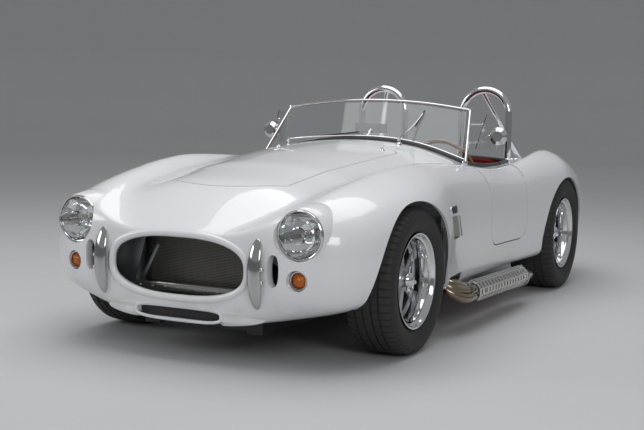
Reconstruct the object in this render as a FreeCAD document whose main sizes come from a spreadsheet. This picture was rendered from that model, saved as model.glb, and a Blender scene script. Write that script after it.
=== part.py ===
import FreeCAD, Part
import math
import os

Vector = FreeCAD.Vector
Rotation = FreeCAD.Rotation
Placement = FreeCAD.Placement
UP = Vector(0, 0, 1)
LEFT = Vector(1, 0, 0)
BACK = Vector(0, 1, 0)

# An open two-seat roadster with twin roll hoops and side pipes, in millimetres.
# X points to the car's left, Y to its tail, Z up, and the origin is on the ground under its middle.
# A station is a distance behind the front axle, and a height is measured from the ground.
doc = FreeCAD.newDocument("Roadster")
sheet = doc.addObject("Spreadsheet::Sheet", "Sizes")

SIZES = {
    # The whole car
    "wheelbase": 2286,
    "nose_length": 700,
    "tail_length": 925,
    "body_width": 1720,
    "cowl_height": 912,
    "skin": 12,
    "panel_gap": 6,
    # Mouth and tail panel
    "mouth_width": 744,
    "mouth_height": 294,
    "mouth_centre_height": 412,
    "mouth_lip": 13,
    "tail_panel_width": 1040,
    "tail_panel_height": 155,
    "tail_panel_centre_height": 430,
    # Wheels and tyres
    "front_tyre_radius": 327,
    "front_tyre_width": 235,
    "front_wheel_face": 808,
    "rear_tyre_radius": 338,
    "rear_tyre_width": 270,
    "rear_wheel_face": 836,
    "rim_radius": 211,
    "rim_wall": 9,
    "arch_reach": 400,
    "arch_rise": 378,
    "rear_arch_radius": 365,
    # Cockpit, doors and lids
    "cockpit_front": 1125,
    "cockpit_back": 2040,
    "cockpit_half_width": 590,
    "door_inner_face": 640,
    "door_front": 1080,
    "door_back": 1650,
    "door_bottom": 365,
    "door_corner": 105,
    "floor_top": 240,
    "bonnet_front": -410,
    "bonnet_back": 755,
    "bonnet_front_width": 600,
    "bonnet_back_width": 750,
    "boot_lid_front": 2430,
    "boot_lid_back": 2930,
    "boot_lid_width": 740,
    "lid_corner": 90,
    # Chassis
    "rail_width": 76,
    "rail_height": 100,
    "rail_offset": 262,
    "rail_front": 500,
    "rail_rear": 420,
    "floor_height": 214.5,
    "rail_top": 216.5,
    "kingpin_offset": 585,
    "ball_joint_reach": 125,
    "seat_gap": 0.3,
    # Fittings
    "overrider_reach": 36,
    "rear_overrider_reach": 45,
    "hoop_station": 2140,
    "hoop_top": 1225,
    "hoop_tube": 44,
    "hoop_centre": 342,
    "hoop_spread": 300,
    "headlamp_diameter": 206,
    "headlamp_offset": 552,
    "headlamp_height": 572,
    "indicator_diameter": 84,
    "indicator_height": 391,
    "tail_lamp_diameter": 72,
    "tail_lamp_offset": 470,
    "tail_lamp_height": 560,
    "pipe_diameter": 48,
    "muffler_diameter": 104,
    "pipe_offset": 808,
    "pipe_height": 195,
    # Windscreen
    "screen_base_half_width": 614,
    "screen_base_station": 1057,
    "screen_base_height": 789,
    "screen_top_half_width": 559,
    "screen_corner_height": 1085,
    "screen_top_height": 1132,
    "screen_lean": 0.82,
    "screen_bow": 48,
}
for row, (alias, number) in enumerate(SIZES.items(), start=1):
    sheet.set("A%d" % row, alias)
    sheet.set("B%d" % row, str(number))
    sheet.setAlias("B%d" % row, alias)
doc.recompute()


def size(alias):
    return float(sheet.get(alias))


wheelbase = size("wheelbase")
skin = size("skin")
gap = size("panel_gap")
close = size("seat_gap")
front_face = -size("nose_length") - size("overrider_reach")
rear_face = wheelbase + size("tail_length") + size("rear_overrider_reach")
shift = -(front_face + rear_face) / 2
SHIFT = ("(Sizes.nose_length + Sizes.overrider_reach - Sizes.wheelbase"
         " - Sizes.tail_length - Sizes.rear_overrider_reach) / 2")
nodes = []


def at(x, station, z):
    return Vector(x, station + shift, z)


def mirrored(shape):
    return shape.mirror(Vector(0, 0, 0), LEFT)


def both_sides(shape):
    return Part.Compound([shape, mirrored(shape)])


def keep(label, shape, base=Vector()):
    """Store a finished shape as a sub-part of its own, with its local origin at the base."""
    part = doc.addObject("Part::Feature", label)
    part.Label = label
    part.Shape = shape
    part.Placement = Placement(base, Rotation())
    nodes.append(part)
    return part


def own(label, part):
    part.Label = label
    nodes.append(part)
    return part


def primitive(kind, name, sizes, place=("0", "0", "0"), turn=None):
    """A box, cylinder or torus whose sizes and place follow the sheet."""
    part = doc.addObject("Part::" + kind, name)
    for key, formula in sizes.items():
        part.setExpression(key, formula)
    if turn:
        part.Placement = Placement(Vector(), Rotation(*turn))
    for axis, formula in zip("xyz", place):
        part.setExpression("Placement.Base." + axis, formula)
    return part


def joined(name, parts):
    fuse = doc.addObject("Part::MultiFuse", name)
    fuse.Shapes = parts
    return fuse


def less(name, base, tool):
    cut = doc.addObject("Part::Cut", name)
    cut.Base = base
    cut.Tool = tool
    return cut


# Body lines: each runs from the mouth (-1) over the front axle (0) and rear axle (1) to the tail panel (2).
# Widths are shares of half the body's width, heights of the cowl's height, and depths of the floor's height.
LINES = {
    "top height": [(-1, .655), (-.72, .757), (-.514, .820), (0, .897), (.197, .952), (.394, .992), (.46, 1.0),
                   (.612, .949), (.83, .877), (1, .861), (1.34, .811), (1.66, .713), (1.88, .614), (2, .548)],
    "valley width": [(-1, .384), (-.514, .494), (0, .541), (.197, .593), (.394, .663), (.612, .698),
                     (.875, .674), (1, .581), (1.45, .512), (2, .384)],
    "valley height": [(-1, .64), (-.714, .718), (-.514, .764), (0, .825), (.197, .866), (.394, .894),
                      (.48, .877), (.612, .842), (.83, .846), (1, .85), (1.34, .80), (1.66, .70), (2, .548)],
    "crown width": [(-1, .628), (-.514, .686), (0, .721), (.197, .756), (.394, .79), (.612, .802),
                    (.83, .82), (1, .80), (1.45, .73), (1.77, .65), (2, .56)],
    "crown height": [(-1, .735), (-.714, .772), (-.514, .808), (-.286, .844), (0, .88), (.122, .908),
                     (.262, .894), (.394, .868), (.48, .846), (.612, .828), (.722, .842), (.83, .886),
                     (1, .93), (1.34, .882), (1.66, .75), (1.88, .645), (2, .58)],
    "side width": [(-1, .88), (-.643, .925), (-.286, .97), (0, .99), (.087, .98), (.175, .94), (.262, .905),
                   (.394, .888), (.525, .888), (.65, .898), (.74, .915), (.83, .94), (.92, .975), (1, 1.0),
                   (1.34, .975), (1.61, .925), (1.83, .85), (2, .77)],
    "side height": [(-1, .482), (0, .548), (.2, .537), (.6, .526), (1, .57), (1.56, .548), (2, .482)],
    "edge width": [(-1, .70), (-.571, .79), (0, .89), (.197, .86), (.394, .825), (.612, .825), (.787, .85),
                   (1, .90), (1.45, .87), (1.77, .75), (2, .62)],
    "edge depth": [(-1, 1.14), (-.571, 1.12), (0, 1.06), (.197, 1), (.78, 1), (1.34, 1.16), (1.66, 1.3),
                   (2, 1.48)],
    "keel width": [(-1, .35), (2, .35)],
    "keel depth": [(-1, .82), (-.643, .82), (-.43, .88), (0, 1), (.78, 1), (1.34, 1.12), (1.66, 1.26),
                   (2, 1.48)],
}


def smooth_line(points):
    """A curve through the points that never swings past them."""
    xs = [point[0] for point in points]
    ys = [point[1] for point in points]
    steps = [b - a for a, b in zip(xs, xs[1:])]
    slopes = [(b - a) / step for a, b, step in zip(ys, ys[1:], steps)]
    tangents = [slopes[0]] + [0] * (len(xs) - 2) + [slopes[-1]]
    for i in range(1, len(xs) - 1):
        if slopes[i - 1] * slopes[i] > 0:
            before = 2 * steps[i] + steps[i - 1]
            after = steps[i] + 2 * steps[i - 1]
            tangents[i] = (before + after) / (before / slopes[i - 1] + after / slopes[i])

    def line(x):
        i = 0
        while i < len(xs) - 2 and x > xs[i + 1]:
            i += 1
        t = (x - xs[i]) / steps[i]
        start = (1 + 2 * t) * (1 - t) ** 2 * ys[i] + t * (1 - t) ** 2 * steps[i] * tangents[i]
        end = t * t * (3 - 2 * t) * ys[i + 1] + t * t * (t - 1) * steps[i] * tangents[i + 1]
        return start + end

    return line


BODY = {name: smooth_line(points) for name, points in LINES.items()}
# The section's eleven key points, from the keel up to the top, sit at these angles round the mouth and tail.
RING_ANGLES = [-90, -62, -38, -18, 2, 22, 42, 53, 64, 77, 90]
# Where each key point leaves its body line to close in on the mouth, and how bluntly it does so
NOSE_STARTS = [-.87, -.87, -.66, -.6, -.56, -.6, -.66, -.62, -.58, -.58, -.6]
NOSE_BLUNTNESS = [2.2, 2.2, 2.3, 2.5, 2.6, 2.7, 2.7, 2.4, 2.1, 2.0, 2.0]
TAIL_START = 1.66
TAIL_BLUNTNESS = 2.1


def station(place):
    """The station of a place on the body lines."""
    if place < 0:
        return place * size("nose_length")
    if place <= 1:
        return place * wheelbase
    return wheelbase + (place - 1) * size("tail_length")


def oval_point(width, height, squareness, angle):
    c = math.cos(math.radians(angle))
    s = math.sin(math.radians(angle))
    x = width / 2 * math.copysign(abs(c) ** (2 / squareness), c)
    z = height / 2 * math.copysign(abs(s) ** (2 / squareness), s)
    return x, z


def ring(width, height, centre, squareness):
    points = []
    for angle in RING_ANGLES:
        x, z = oval_point(width, height, squareness, angle)
        points.append((x if abs(angle) < 90 else 0, centre + z))
    return points


MOUTH_SQUARENESS = 2.3
MOUTH = ring(size("mouth_width"), size("mouth_height"), size("mouth_centre_height"), MOUTH_SQUARENESS)
TAIL = ring(size("tail_panel_width"), size("tail_panel_height"), size("tail_panel_centre_height"), 2.6)


def key_points(place):
    """Half of the body's cross-section, from the keel up to the top, without its ends closing in."""
    width = {}
    height = {}
    for name, line in BODY.items():
        feature, kind = name.split()
        if kind == "width":
            width[feature] = line(place) * size("body_width") / 2
        elif kind == "depth":
            height[feature] = line(place) * size("floor_height")
        else:
            height[feature] = line(place) * size("cowl_height")
    flank = width["edge"] + (width["side"] - width["edge"]) * .75
    shoulder = width["crown"] + (width["side"] - width["crown"]) * .8
    return [
        (0, height["keel"]),
        (width["keel"], height["keel"]),
        (width["edge"], height["edge"]),
        (flank, height["side"] - (height["side"] - height["edge"]) * .66),
        (width["side"], height["side"]),
        (shoulder, height["side"] + (height["crown"] - height["side"]) * .68),
        (width["crown"], height["crown"]),
        ((width["crown"] + width["valley"]) / 2, height["valley"] + (height["crown"] - height["valley"]) * .58),
        (width["valley"], height["valley"]),
        (width["valley"] * .55, height["valley"] + (height["top"] - height["valley"]) * .76),
        (0, height["top"]),
    ]


def closing(share, bluntness):
    return (1 - (1 - max(0, share)) ** bluntness) ** (1 / bluntness)


def section(place):
    """Half of the cross-section, drawn in towards the mouth and the tail panel near the ends."""
    points = []
    for j, (x, z) in enumerate(key_points(place)):
        if place < NOSE_STARTS[j]:
            open_share = closing((place + 1) / (NOSE_STARTS[j] + 1), NOSE_BLUNTNESS[j])
            x = MOUTH[j][0] + (x - MOUTH[j][0]) * open_share
            z = MOUTH[j][1] + (z - MOUTH[j][1]) * open_share
        if place > TAIL_START:
            open_share = closing((2 - place) / (2 - TAIL_START), TAIL_BLUNTNESS)
            x = TAIL[j][0] + (x - TAIL[j][0]) * open_share
            z = TAIL[j][1] + (z - TAIL[j][1]) * open_share
        points.append(at(x, station(place), z))
    return points


def doubled(points):
    """The half section with a point between each two, and level where it meets the car's middle."""
    first = Vector(-points[1].x, points[1].y, points[1].z)
    last = Vector(-points[-2].x, points[-2].y, points[-2].z)
    run = [first] + points + [last]
    result = []
    for a, b, c, d in zip(run, run[1:], run[2:], run[3:]):
        result.append(b)
        result.append((b * 9 + c * 9 - a - d) * (1 / 16))
    return result + [points[-1]]


def places():
    nose = [-1 + (1 - math.cos(math.radians(9 * i))) * .571 for i in range(10)]
    wing = [-.429, -.286, -.143]
    middle = [i / 18 for i in range(19)]
    haunch = [1 + .11 * i for i in range(1, 6)]
    tail = [2 - (1 - math.cos(math.radians(90 - 11.25 * i))) * .38 for i in range(9)]
    return nose + wing + middle + haunch + tail


def outer_net():
    """Rings of points round the body, one for each place."""
    net = []
    for place in places():
        half = doubled(section(place))
        other = [Vector(-point.x, point.y, point.z) for point in half[-2:0:-1]]
        net.append(half + other + [half[0]])
    return net


def inset_net(net, depth):
    """The same rings, each point moved inwards at right angles to the surface."""
    inner = []
    for i, row in enumerate(net):
        count = len(row) - 1
        moved = []
        for j in range(count):
            along = net[min(i + 1, len(net) - 1)][j] - net[max(i - 1, 0)][j]
            around = row[(j + 1) % count] - row[j - 1 if j else count - 1]
            normal = along.cross(around)
            normal.normalize()
            if i == 0:
                normal = Vector(0, -1, 0)
            if i == len(net) - 1:
                normal = Vector(0, 1, 0)
            moved.append(row[j] - normal * depth)
        inner.append(moved + [moved[0]])
    return inner


def knots(count):
    spans = count - 3
    return [i / spans for i in range(spans + 1)], [4] + [1] * (spans - 1) + [4]


def lofted(net):
    """A closed solid whose one smooth side follows the net, with a flat end at the nose and at the tail."""
    length_knots, length_counts = knots(len(net))
    round_knots, round_counts = knots(len(net[0]))
    surface = Part.BSplineSurface()
    surface.buildFromPolesMultsKnots(net, length_counts, round_counts, length_knots, round_knots,
                                     False, False, 3, 3)
    side = surface.toShape()
    ends = [Part.Face(Part.Wire([surface.uIso(edge).toShape()])) for edge in (0, 1)]
    faces = Part.Compound([side] + ends)
    faces.sewShape(0.001)
    solid = Part.Solid(faces.Shells[0])
    if solid.Volume < 0:
        solid.reverse()
    return solid


def span(x_from, x_to, from_station, to_station, z_from, z_to):
    """A box between stations, written from its corners."""
    corner = at(x_from, from_station, z_from)
    return Part.makeBox(x_to - x_from, to_station - from_station, z_to - z_from, corner)


def prism(points, direction):
    """A solid from a flat outline: arcs are given as a pair of a middle point and an end point."""
    edges = []
    start = points[0]
    for item in points[1:] + [points[0]]:
        if isinstance(item, tuple):
            edges.append(Part.Arc(start, item[0], item[1]).toShape())
            start = item[1]
        elif (item - start).Length > 1e-6:
            edges.append(Part.LineSegment(start, item).toShape())
            start = item
    return Part.Face(Part.Wire(edges)).extrude(direction)


def rounded_prism(corners, radii, direction):
    """A solid from a polygon with its corners rounded."""
    edges = []
    ends = []
    count = len(corners)
    for i, corner in enumerate(corners):
        before = corners[i - 1] - corner
        after = corners[(i + 1) % count] - corner
        half = before.getAngle(after) / 2
        setback = radii[i] / math.tan(half)
        before.normalize()
        after.normalize()
        middle = before + after
        middle.normalize()
        arc_middle = corner + middle * (radii[i] / math.sin(half) - radii[i])
        ends.append((corner + before * setback, arc_middle, corner + after * setback))
    for i, (start, arc_middle, end) in enumerate(ends):
        if radii[i] > 0:
            edges.append(Part.Arc(start, arc_middle, end).toShape())
        edges.append(Part.LineSegment(end, ends[(i + 1) % count][0]).toShape())
    return Part.Face(Part.Wire(edges)).extrude(direction)


def oval_prism(width, height, squareness, centre, direction):
    """A solid from a squared-off oval, standing across the car."""
    points = []
    for angle in range(0, 360, 15):
        x, z = oval_point(width, height, squareness, angle)
        points.append(centre + Vector(x, 0, z))
    curve = Part.BSplineCurve()
    curve.interpolate(points, PeriodicFlag=True)
    return Part.Face(Part.Wire([curve.toShape()])).extrude(direction)


def tube_path(points, bend):
    """Straight runs joined by tangent arcs."""
    edges = []
    start = points[0]
    for i in range(1, len(points) - 1):
        corner = points[i]
        before = points[i - 1] - corner
        after = points[i + 1] - corner
        half = before.getAngle(after) / 2
        setback = bend / math.tan(half)
        before.normalize()
        after.normalize()
        middle = before + after
        middle.normalize()
        arc_start = corner + before * setback
        arc_end = corner + after * setback
        arc_middle = corner + middle * (bend / math.sin(half) - bend)
        if (arc_start - start).Length > 1e-6:
            edges.append(Part.LineSegment(start, arc_start).toShape())
        edges.append(Part.Arc(arc_start, arc_middle, arc_end).toShape())
        start = arc_end
    edges.append(Part.LineSegment(start, points[-1]).toShape())
    return Part.Wire(edges)


def tube(points, radius, bend):
    """A round bar along a path."""
    path = tube_path(points, bend)
    direction = points[1] - points[0]
    circle = Part.Wire([Part.makeCircle(radius, points[0], direction)])
    return path.makePipeShell([circle], True, True)


def bar(start, end, radius):
    return Part.makeCylinder(radius, (end - start).Length, start, end - start)


# The body and its cavities
net = outer_net()
outer = lofted(net)
inner = lofted(inset_net(net, skin))
half_width = size("body_width") / 2
bay_half = 393
well_inner = bay_half + skin
rear_well_inner = 545
front_well = (-470, 392)
rear_well = (wheelbase - 400, wheelbase + 400)
firewall = size("bonnet_back") + 15
WIDE = half_width + 100
TALL = size("cowl_height") + 300

rooms = [
    span(-WIDE, WIDE, -650, -482, 0, TALL),
    span(-bay_half, bay_half, -500, firewall, 0, TALL),
    span(well_inner, WIDE, front_well[0], front_well[1], 0, TALL),
    span(-WIDE, -well_inner, front_well[0], front_well[1], 0, TALL),
    span(well_inner, WIDE, front_well[1] + skin, firewall, 0, TALL),
    span(-WIDE, -well_inner, front_well[1] + skin, firewall, 0, TALL),
    span(rear_well_inner, WIDE, rear_well[0], rear_well[1], 0, TALL),
    span(-WIDE, -rear_well_inner, rear_well[0], rear_well[1], 0, TALL),
    span(-530, 530, size("cockpit_back") + 24, 3100, 480, TALL),
    span(-533, 533, 1990, 2720, 0, 466),
]
cockpit_rooms = [
    span(-size("door_inner_face"), size("door_inner_face"), firewall + skin, 1874, size("floor_top"), TALL),
    span(-530, 530, 1860, size("cockpit_back") + 10, size("floor_top"), TALL),
]
hollow = inner.common(Part.Compound(rooms + cockpit_rooms[1:]).Solids[0].multiFuse(rooms[1:] + cockpit_rooms))


def cockpit_opening():
    front = size("cockpit_front")
    back = size("cockpit_back")
    wide = size("cockpit_half_width")
    corners = [at(-wide, front, 600), at(wide, front, 600), at(wide - 40, back, 600), at(-wide + 40, back, 600)]
    return rounded_prism(corners, [60, 60, 130, 130], UP * TALL)


def arch(inner_x, wheel_station, wheel_height, reach, rise, lean):
    """The wheel opening in the left side, seen along X: an ellipse that leans towards the nose."""
    centre = at(inner_x, wheel_station - lean, wheel_height - 22)
    oval = Part.Ellipse(centre + BACK * reach, centre + UP * rise, centre)
    opening = Part.Face(Part.Wire([oval.toShape()])).extrude(LEFT * (WIDE - inner_x))
    below = span(inner_x, WIDE, wheel_station - lean - reach, wheel_station - lean + reach, 0, wheel_height - 22)
    return opening.fuse(below)


front_arch = arch(well_inner, 0, size("front_tyre_radius"), size("arch_reach"), size("arch_rise"), 45)
rear_arch = arch(rear_well_inner, wheelbase, size("rear_tyre_radius"), size("rear_arch_radius") + 5,
                 size("rear_arch_radius"), 0)


def door_outline(inset, easing=0):
    """The door's side outline, as a prism through the left side; easing rounds its low rear corner more."""
    front = size("door_front") + inset
    back = size("door_back") - inset
    low = size("door_bottom") + inset
    corner = size("door_corner") - inset
    x = size("door_inner_face") - 120
    corners = [at(x, front, low), at(x, back, low), at(x, back, TALL), at(x, front - 45, TALL),
               at(x, front - 45, 790), at(x, front, 690)]
    return rounded_prism(corners, [corner, corner + easing, 1, 1, 60, 60], LEFT * 400)


def door_block(inset):
    """The room that the door takes up, inside its outline."""
    lip = span(size("cockpit_half_width") - 60, half_width + 60, size("cockpit_front") + inset, 2000, 0, TALL)
    flank = span(size("door_inner_face") + inset - gap, half_width + 60, 900, 2000, 0, TALL)
    swing = [at(size("door_inner_face") - 200, size("door_back") - 86 - inset, 0),
             at(half_width - 100, size("door_back") - inset, 0), at(half_width + 60, size("door_back") - inset, 0),
             at(half_width + 60, 2000, 0), at(size("door_inner_face") - 200, 2000, 0)]
    return door_outline(inset).common(lip.fuse(flank)).cut(prism(swing, UP * TALL))


def bonnet_prism(inset):
    front = size("bonnet_front") + inset
    back = size("bonnet_back") - inset
    front_half = size("bonnet_front_width") / 2 - inset
    back_half = size("bonnet_back_width") / 2 - inset
    z = 560
    bow = 110
    points = [
        at(-front_half, front + bow, z), (at(0, front, z), at(front_half, front + bow, z)),
        at(back_half, back - 60, z), (at(back_half - 18, back - 18, z), at(back_half - 60, back, z)),
        at(-back_half + 60, back, z), (at(-back_half + 18, back - 18, z), at(-back_half, back - 60, z)),
        at(-front_half, front + bow, z),
    ]
    return prism(points, UP * TALL)


def boot_prism(inset):
    front = size("boot_lid_front") + inset
    back = size("boot_lid_back") - inset
    wide = size("boot_lid_width") / 2 - inset
    corner = size("lid_corner") - inset
    z = 560
    corners = [at(-wide, front, z), at(wide, front, z), at(wide - 40, back, z), at(-wide + 40, back, z)]
    return rounded_prism(corners, [corner] * 4, UP * TALL)


lip = size("mouth_lip")
mouth_hole = oval_prism(size("mouth_width") - 2 * lip, size("mouth_height") - 2 * lip, MOUTH_SQUARENESS,
                        at(0, -760, size("mouth_centre_height")), BACK * 200)
chin_slot = oval_prism(400, 44, 4, at(0, -760, 212), BACK * 200)
duct_hole = oval_prism(52, 130, 2.6, at(452, -760, 425), BACK * 260)
lamp_hole = Part.makeCylinder(size("headlamp_diameter") / 2 + close, 260,
                              at(size("headlamp_offset"), -760, size("headlamp_height")), BACK)
small_hole = Part.makeCylinder(size("indicator_diameter") / 2 + close, 260,
                               at(size("headlamp_offset"), -760, size("indicator_height")), BACK)
tail_hole = Part.makeCylinder(size("tail_lamp_diameter") / 2 + close, 200,
                              at(size("tail_lamp_offset"), wheelbase + 760, size("tail_lamp_height")), BACK)
engine_gap = span(-335, 335, -560, 650, 0, 300)
axle_gap = span(-500, 500, 2010, 2710, 0, 300)
lock_room = span(well_inner, 700, front_well[0], front_well[1], 0, 330)
flat_floor = span(-600, 600, 480, 2720, 0, size("rail_top"))
arm_gap = span(bay_half - 10, well_inner + 10, -170, 170, 0, 590)
shaft_gap = span(490, rear_well_inner + 10, wheelbase - 170, wheelbase + 170, 0, 460)
pipe_gap = span(600, WIDE, 400, 650, 0, 292)
whole = outer.cut(hollow)
whole = whole.cut(cockpit_opening())
vent_hole = prism([at(700, 372, 582), at(700, 508, 580), at(700, 545, 470), at(700, 412, 471)], LEFT * 200)
corner_relief = door_outline(0).cut(door_outline(0, 60)).common(inner)
door_piece = whole.common(door_block(gap)).cut(corner_relief)
openings = [mouth_hole, chin_slot, engine_gap, axle_gap, flat_floor, bonnet_prism(0), boot_prism(0)]
door_recess = door_outline(-9).common(span(size("door_inner_face") - close, 748, 900, 2000, 0, TALL))
for side_cut in (door_recess, duct_hole, lamp_hole, front_arch, rear_arch, door_block(0), vent_hole,
                 arm_gap, shaft_gap, pipe_gap, small_hole, tail_hole, lock_room):
    openings += [side_cut, mirrored(side_cut)]
bonnet_shape = whole.common(bonnet_prism(gap))
boot_shape = whole.common(boot_prism(gap))
ledge_depth = skin + close + 3
ledge_base = lofted(inset_net(net, ledge_depth))
ledge_top = lofted(inset_net(net, skin + close))
ledge_root = lofted(inset_net(net, skin - 4))
ledges = []
for lid in (bonnet_prism, boot_prism):
    ledges.append(ledge_top.common(lid(0).cut(lid(16))).cut(ledge_base))
    ledges.append(ledge_root.common(lid(-14).cut(lid(0))).cut(ledge_base))
jamb_x = size("door_inner_face") - close - 4
jamb = door_outline(-14).cut(door_outline(50)).common(span(jamb_x, jamb_x + 4, 900, 2000, 0, 740))
jamb_root = door_outline(-14).cut(door_outline(-9)).common(span(jamb_x, jamb_x + 14, 900, 2000, 0, 740))
for strip in (jamb, jamb_root):
    ledges += [strip, mirrored(strip)]
body_shape = whole.cut(Part.Compound(openings)).multiFuse(ledges)
keep("body_shell", body_shape)
keep("bonnet", bonnet_shape)
keep("boot_lid", boot_shape)
keep("door_left", door_piece)
keep("door_right", mirrored(door_piece))


# The chassis: two box rails and the members that cross between them
RAIL_TOP = "Sizes.rail_top - Sizes.seat_gap"
rails = []
for name, side in (("LeftRail", 1), ("RightRail", -1)):
    rails.append(primitive("Box", name, {
        "Length": "Sizes.rail_width", "Width": "Sizes.wheelbase + Sizes.rail_front + Sizes.rail_rear",
        "Height": "Sizes.rail_height"},
        ("%d * Sizes.rail_offset - Sizes.rail_width / 2" % side, "-Sizes.rail_front + " + SHIFT,
         RAIL_TOP + " - Sizes.rail_height")))
CROSS_STATIONS = {"Front": "-Sizes.rail_front + 10", "Axle": "-40", "Middle": "Sizes.wheelbase / 3",
                  "Back": "Sizes.wheelbase * 0.78", "Rear": "Sizes.wheelbase - 40",
                  "Tail": "Sizes.wheelbase + Sizes.rail_rear - 90"}
for name, place in CROSS_STATIONS.items():
    rails.append(primitive("Box", name + "CrossMember", {
        "Length": "2 * Sizes.rail_offset", "Width": "80", "Height": "Sizes.rail_height - 30"},
        ("-Sizes.rail_offset", place + " + " + SHIFT, RAIL_TOP + " - Sizes.rail_height + 10")))
own("chassis_frame", joined("ChassisFrame", rails))
rail_top = size("rail_top") - close
rail_outer = size("rail_offset") + size("rail_width") / 2


# Wheels: each section is drawn with x across the car from the wheel's outer face, and z out from its axis
def profile(points):
    edges = []
    start = points[0]
    for item in points[1:] + [points[0]]:
        if len(item) == 4:
            edges.append(Part.Arc(Vector(start[0], 0, start[1]), Vector(item[0], 0, item[1]),
                                  Vector(item[2], 0, item[3])).toShape())
            start = item[2:]
        elif math.dist(start, item) > 1e-6:
            edges.append(Part.LineSegment(Vector(start[0], 0, start[1]), Vector(item[0], 0, item[1])).toShape())
            start = item
    return Part.Face(Part.Wire(edges))


def spun(points):
    return profile(points).revolve(Vector(), LEFT, 360)


def tyre_shape(radius, width, bead):
    shoulder = 30
    foot = 32
    middle = (bead + radius) / 2 - 6
    return spun([
        (-foot, bead), (-4, middle - 22, 0, middle), (-shoulder * .35, radius - 18, -shoulder, radius - 5),
        (-shoulder * 1.5, radius),
        (-width + shoulder * 1.5, radius), (-width + shoulder, radius - 5),
        (-width + shoulder * .35, radius - 18, -width, middle), (-width + 4, middle - 22, -width + foot, bead),
    ])


def rim_shape(width, dish):
    """A rim: lips, barrel, dished centre with windows, and the three-eared nut that holds the wheel."""
    bead = size("rim_radius") - close
    wall = size("rim_wall")
    flange = 20
    barrel = spun([
        (-flange, bead), (-flange - 2, bead - 5), (-flange - 8, bead - wall), (-flange - 30, bead - wall - 18),
        (-width + flange + 30, bead - wall - 18), (-width + flange + 8, bead - wall),
        (-width + flange + 2, bead - 5), (-width + flange, bead),
    ])
    outer_centre = -dish
    plate = 40
    centre = spun([(outer_centre, 0), (outer_centre, 60), (outer_centre - 16, 78),
                   (outer_centre - 24, bead - wall - 17), (outer_centre - 24 - plate, bead - wall - 17),
                   (outer_centre - 24 - plate, 80), (outer_centre - 60, 66), (outer_centre - 60, 0)])
    for i in range(6):
        turn = math.radians(60 * i + 30)
        window = Part.makeCylinder(30, 240, Vector(outer_centre - 200, 124 * math.cos(turn), 124 * math.sin(turn)),
                                   LEFT)
        centre = centre.cut(window)
    nut = spun([(outer_centre - 5, 0), (outer_centre + 40, 0), (outer_centre + 40, 24), (outer_centre + 22, 36),
                (outer_centre - 5, 40)])
    ears = []
    for i in range(3):
        ear = Part.makeBox(16, 20, 74, Vector(outer_centre + 6, -10, 0))
        ear.rotate(Vector(), LEFT, 120 * i)
        ears.append(ear)
    return barrel.multiFuse([centre, nut] + ears)


FRONT_DISH = 92
REAR_DISH = 108
for end, along, dish in (("front", 0, FRONT_DISH), ("rear", wheelbase, REAR_DISH)):
    radius = size(end + "_tyre_radius")
    pieces = {"tyre": tyre_shape(radius, size(end + "_tyre_width"), size("rim_radius")),
              "rim": rim_shape(size(end + "_tyre_width"), dish)}
    for kind, shape in pieces.items():
        keep("%s_%s_left" % (kind, end), shape, at(size(end + "_wheel_face"), along, radius))
        keep("%s_%s_right" % (kind, end), mirrored(shape), at(-size(end + "_wheel_face"), along, radius))


# Front uprights, which steer between an upper and a lower arm
kingpin = size("kingpin_offset")
front_axis = size("front_tyre_radius")
hub_face = size("front_wheel_face") - FRONT_DISH - 60 - close
joint_reach = size("ball_joint_reach")
joint_half = 13
hub = Part.makeCylinder(58, hub_face - kingpin - 20, at(kingpin + 20, 0, front_axis), LEFT)
upright_low = front_axis - joint_reach + joint_half + close
upright_high = front_axis + joint_reach - joint_half - close
upright = Part.makeBox(44, 56, upright_high - upright_low, at(kingpin - 20, -28, upright_low))
steering_arm = Part.makeBox(22, 110, 20, at(kingpin - 14, -130, front_axis - 60))
knuckle = hub.multiFuse([upright, steering_arm])
keep("knuckle_front_left", knuckle)
keep("knuckle_front_right", mirrored(knuckle))


def wishbone(pivot_x, outer_x, along, z_inner, z_outer, spread):
    """Two legs that meet at the upright, with a bush where each meets the chassis."""
    pieces = [Part.makeCylinder(22, 2 * joint_half, at(outer_x, along, z_outer - joint_half), UP)]
    for way in (-1, 1):
        pivot = at(pivot_x, along + way * spread, z_inner)
        pieces.append(bar(pivot, at(outer_x, along + way * 8, z_outer), 12))
        pieces.append(Part.makeCylinder(19, 56, pivot - BACK * 28, BACK))
    return pieces[0].multiFuse(pieces[1:])


tower_half = 28
tower_top = front_axis + joint_reach + 60
low_pivot_x = rail_outer + 19 + close
low_arm = wishbone(low_pivot_x, kingpin, 0, rail_top - 50, front_axis - joint_reach, 125)
high_arm = wishbone(low_pivot_x, kingpin, 0, front_axis + joint_reach + 12, front_axis + joint_reach, 62)
tower = span(size("rail_offset") - tower_half, rail_outer, -100, 100, rail_top + close, tower_top)
damper = bar(at(rail_outer + 34, 0, tower_top - 8), at(kingpin - 96, 0, front_axis - joint_reach + 8), 24)
bracket = span(size("rail_offset"), rail_outer + 60, -26, 26, tower_top - 30, tower_top)
suspension = low_arm.multiFuse([high_arm, tower, damper, bracket])
keep("front_suspension", both_sides(suspension))

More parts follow.
